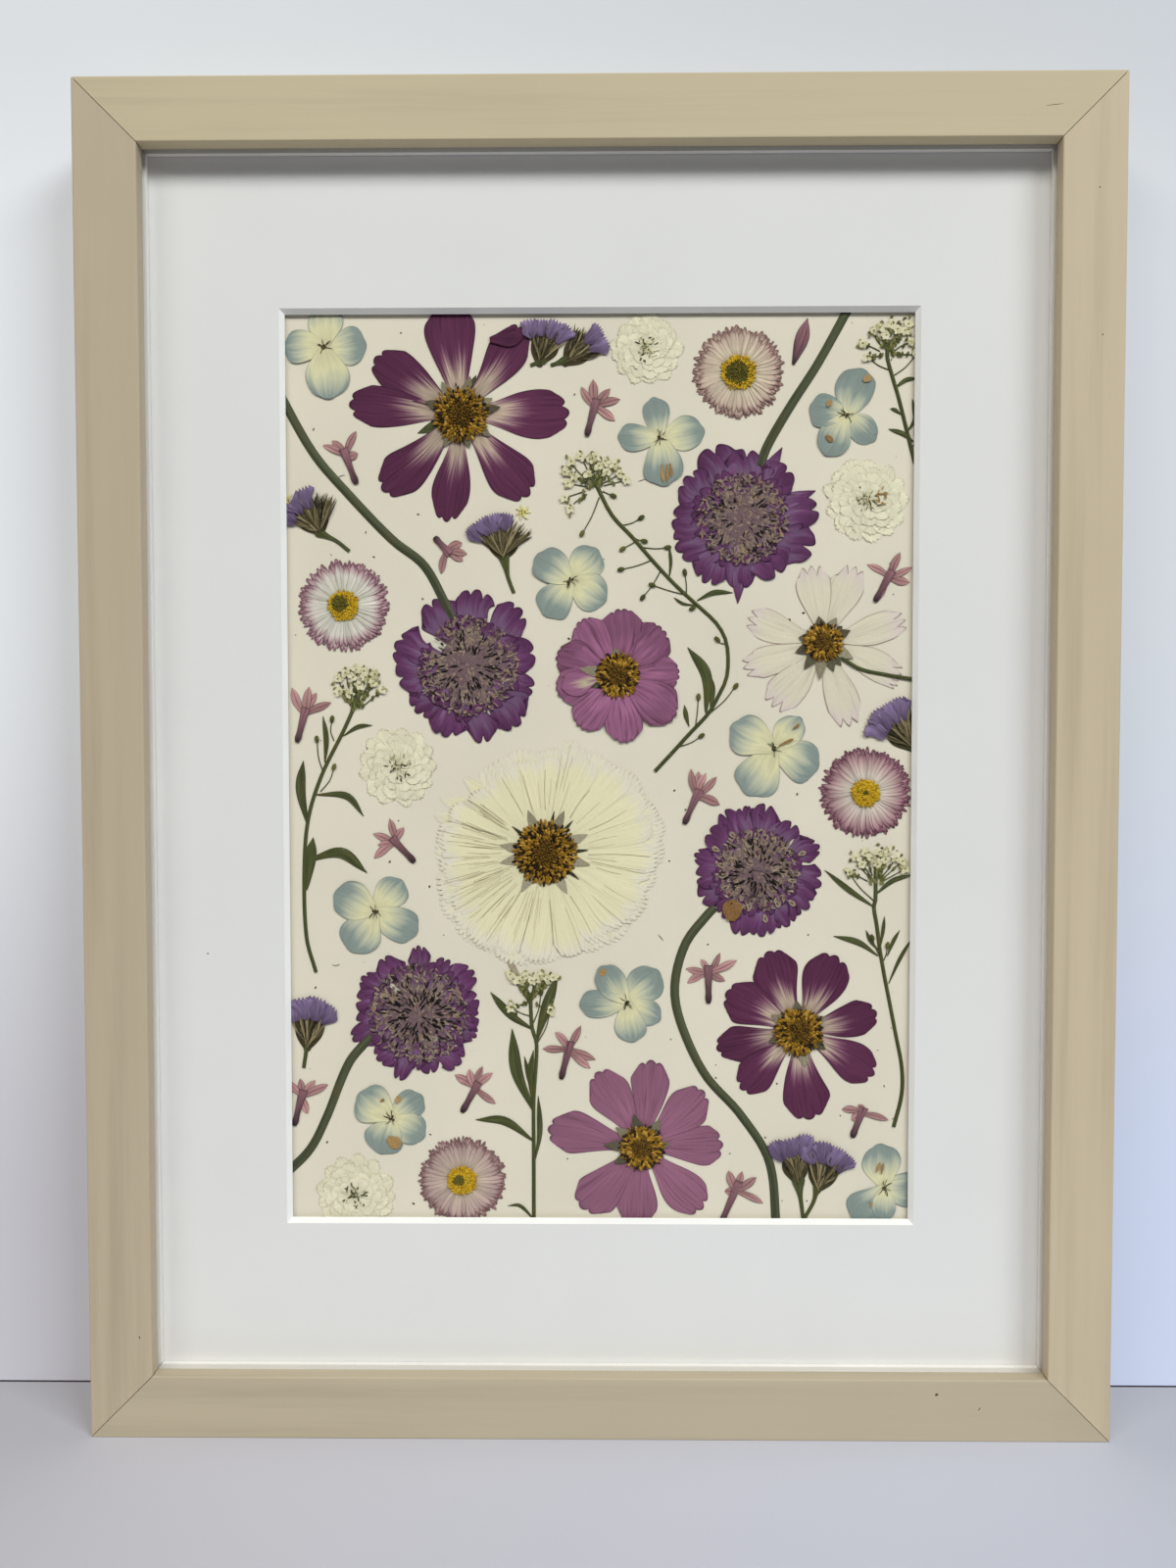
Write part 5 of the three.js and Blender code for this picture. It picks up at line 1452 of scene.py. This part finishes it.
class PRESSED_OT_daisies(bpy.types.Operator):
    """Press the four daisies"""
    bl_idname = "pressed.daisies"
    bl_label = "Daisies"

    def execute(self, context):
        return press(context, make_daisy, DAISIES)


class PRESSED_OT_doubles(bpy.types.Operator):
    """Press the four small white double flowers"""
    bl_idname = "pressed.doubles"
    bl_label = "White double flowers"

    def execute(self, context):
        return press(context, make_double, DOUBLES)


class PRESSED_OT_hydrangeas(bpy.types.Operator):
    """Press the nine hydrangea florets"""
    bl_idname = "pressed.hydrangeas"
    bl_label = "Hydrangea florets"

    def execute(self, context):
        return press(context, make_hydrangea, HYDRANGEAS)


class PRESSED_OT_statices(bpy.types.Operator):
    """Press the six statice heads"""
    bl_idname = "pressed.statices"
    bl_label = "Statice heads"

    def execute(self, context):
        return press(context, make_statice, STATICES)


class PRESSED_OT_sprigs(bpy.types.Operator):
    """Press the five sprigs of tiny white flowers"""
    bl_idname = "pressed.sprigs"
    bl_label = "Sprigs"

    def execute(self, context):
        return press(context, make_sprig, SPRIGS)


class PRESSED_OT_small_things(bpy.types.Operator):
    """Press the small pink florets and scatter the crumbs"""
    bl_idname = "pressed.small_things"
    bl_label = "Pink florets and crumbs"

    def execute(self, context):
        make_florets(shared_looks(context), context.scene.pressed_flowers)
        make_specks(shared_looks(context), context.scene.pressed_flowers)
        return {"FINISHED"}


# ---------------------------------------------------------------- stage
WALL_BEHIND = 1.0 * MM  # from the frame's back to the wall
HALF_WIDTH = 3.0  # of the wall and the table, in metres
TABLE_FRONT, TABLE_BACK = -0.35, 3.0
SHADE_LINE = 0.3 * MM  # half the height of the painted shade line where the table meets the wall
# Painted light and shade on the table and the wall: colours at the left and right; the wall has a pair low
# down and a pair higher up.
TABLE_COLOURS = (rgb(205, 204, 212), rgb(208, 212, 226))
# painted shade in the corner where the table meets the wall
SHADE_LINE_COLOURS = (rgb(66, 60, 68), rgb(66, 60, 68))
WALL_LOW = (rgb(211, 210, 218), rgb(216, 225, 249))
WALL_HIGH = (rgb(246, 250, 255), rgb(228, 232, 239))
LIGHT_SIZE = (1.5, 0.95)
LIGHTS = [
    # side, place, colour
    ("key", (0.1, -2.4, 2.45), (1.0, 0.99, 0.96)),
    ("left", (-1.7, -2.1, 2.25), (1.0, 0.94, 0.84)),
    ("right", (1.9, -2.1, 2.05), (0.91, 0.97, 1.0)),
]
AMBIENT_COLOUR = (0.93, 0.96, 1.0, 1.0)
CAMERA_PLACE = (0.00058, -0.38555, 0.22255)
CAMERA_TURN = (88.0587, 0.0367, 0.5757)  # degrees
SENSOR_HEIGHT = 36.0  # millimetres


def stage_plane(name, matrix, low, high, one_sided):
    """A plane with painted light and shade: its colour runs from left to right and, on the wall, upwards,
    with painted shade at the top.
    """
    mesh = bmesh.new()
    bmesh.ops.create_grid(mesh, x_segments=1, y_segments=1, size=1.0, matrix=matrix)
    look = Finish(name, 0.9, 0.1)
    x, _, z = look.node("SeparateXYZ", look.object_place()).outputs
    rightward, upward = look.rise(x, -0.2, 0.2), look.rise(z, 0.05, 0.28)
    run = look.mix(upward, look.mix(rightward, *low), look.mix(rightward, *high))
    # painted shade: the wall is dimmed near its top
    look.paint(look.brightness(run, look.times_plus(look.rise(z, 0.38, 0.47), -0.13, 1.0)))
    if one_sided:
        look.clear_where(look.node("NewGeometry").outputs["Backfacing"])
    plane = new_piece(name, mesh, [look.material])
    return plane


def soft_light(name, place, target, power, colour):
    """A wide lamp that faces the target."""
    data = bpy.data.lights.new(name, "AREA")
    data.shape = "RECTANGLE"
    data.size, data.size_y = LIGHT_SIZE
    data.energy = power
    data.color = colour
    light = bpy.data.objects.new(name, data)
    light.location = place
    light.rotation_euler = (Vector(target) - Vector(place)).to_track_quat("-Z", "Y").to_euler()
    bpy.context.scene.collection.objects.link(light)


def set_room():
    """The table, the wall behind the frame and a line of painted shade where they meet."""
    middle, half_depth = (TABLE_BACK + TABLE_FRONT) / 2, (TABLE_BACK - TABLE_FRONT) / 2
    table = Matrix.Translation((0, middle, 0)) @ Matrix.Diagonal((HALF_WIDTH, half_depth, 1.0, 1.0))
    stage_plane("table", table, TABLE_COLOURS, TABLE_COLOURS, False)
    wall_y = CAD_BOX[1].y + WALL_BEHIND
    upright = Matrix.Rotation(math.radians(90), 4, "X")
    shade_line = (Matrix.Translation((0, wall_y - SHADE_LINE, SHADE_LINE)) @ upright
             @ Matrix.Diagonal((HALF_WIDTH, SHADE_LINE, 1.0, 1.0)))
    stage_plane("wall_joint", shade_line, SHADE_LINE_COLOURS, SHADE_LINE_COLOURS, True)
    wall = stage_plane("wall", Matrix.Translation((0, wall_y, 0)) @ upright @ Matrix.Scale(HALF_WIDTH, 4),
                       WALL_LOW, WALL_HIGH, True)
    wall.visible_shadow = wall.visible_diffuse = wall.visible_glossy = wall.visible_transmission = False


def set_lights(scene):
    """Three wide lamps and a pale room."""
    for side, place, colour in LIGHTS:
        power = getattr(scene.pressed_stage, side + "_power")
        soft_light(side + "_light", place, (0, 0, WINDOW_Z), power, colour)
    world = bpy.data.worlds.new("pale_room")
    world.use_nodes = True
    background = next(node for node in world.node_tree.nodes if node.type == "BACKGROUND")
    background.inputs["Color"].default_value = AMBIENT_COLOUR
    background.inputs["Strength"].default_value = scene.pressed_stage.ambient
    scene.world = world
    scene.view_settings.view_transform = "Standard"


def set_camera(scene):
    """A camera in front of the frame."""
    data = bpy.data.cameras.new("camera")
    data.sensor_fit = "VERTICAL"
    data.sensor_height = SENSOR_HEIGHT
    data.lens = scene.pressed_stage.lens
    data.clip_start = 0.01
    camera = bpy.data.objects.new("camera", data)
    camera.location = CAMERA_PLACE
    camera.rotation_euler = [math.radians(angle) for angle in CAMERA_TURN]
    scene.collection.objects.link(camera)
    scene.camera = camera


class PRESSED_OT_stage(bpy.types.Operator):
    """Set the table, the wall behind, the lights and the camera"""
    bl_idname = "pressed.stage"
    bl_label = "Stage"

    def execute(self, context):
        set_room()
        set_lights(context.scene)
        set_camera(context.scene)
        return {"FINISHED"}


OPERATORS = (
    PRESSED_OT_stage, PRESSED_OT_wood, PRESSED_OT_stack, PRESSED_OT_cosmos, PRESSED_OT_scabiosas,
    PRESSED_OT_daisies, PRESSED_OT_doubles, PRESSED_OT_hydrangeas, PRESSED_OT_statices, PRESSED_OT_sprigs,
    PRESSED_OT_small_things)


class PRESSED_PT_panel(bpy.types.Panel):
    """Buttons for every piece of the frame"""
    bl_idname = "PRESSED_PT_panel"
    bl_label = "Pressed Flowers"
    bl_space_type = "VIEW_3D"
    bl_region_type = "UI"
    bl_category = "Pressed Flowers"

    def draw(self, context):
        for operator in OPERATORS:
            self.layout.operator(operator.bl_idname)


CLASSES = (FrameSettings, FlowerSettings, StageSettings, *OPERATORS, PRESSED_PT_panel)


def register():
    """Adds the settings, operators and panel to Blender."""
    for cls in CLASSES:
        bpy.utils.register_class(cls)
    bpy.types.Scene.pressed_frame = bpy.props.PointerProperty(type=FrameSettings)
    bpy.types.Scene.pressed_flowers = bpy.props.PointerProperty(type=FlowerSettings)
    bpy.types.Scene.pressed_stage = bpy.props.PointerProperty(type=StageSettings)


def unregister():
    """Takes them out again."""
    del bpy.types.Scene.pressed_stage
    del bpy.types.Scene.pressed_flowers
    del bpy.types.Scene.pressed_frame
    for cls in reversed(CLASSES):
        bpy.utils.unregister_class(cls)


def main():
    """Makes every piece."""
    register()
    for operator in OPERATORS:
        getattr(bpy.ops.pressed, operator.bl_idname.split(".")[1])()


if __name__ == "__main__":
    main()
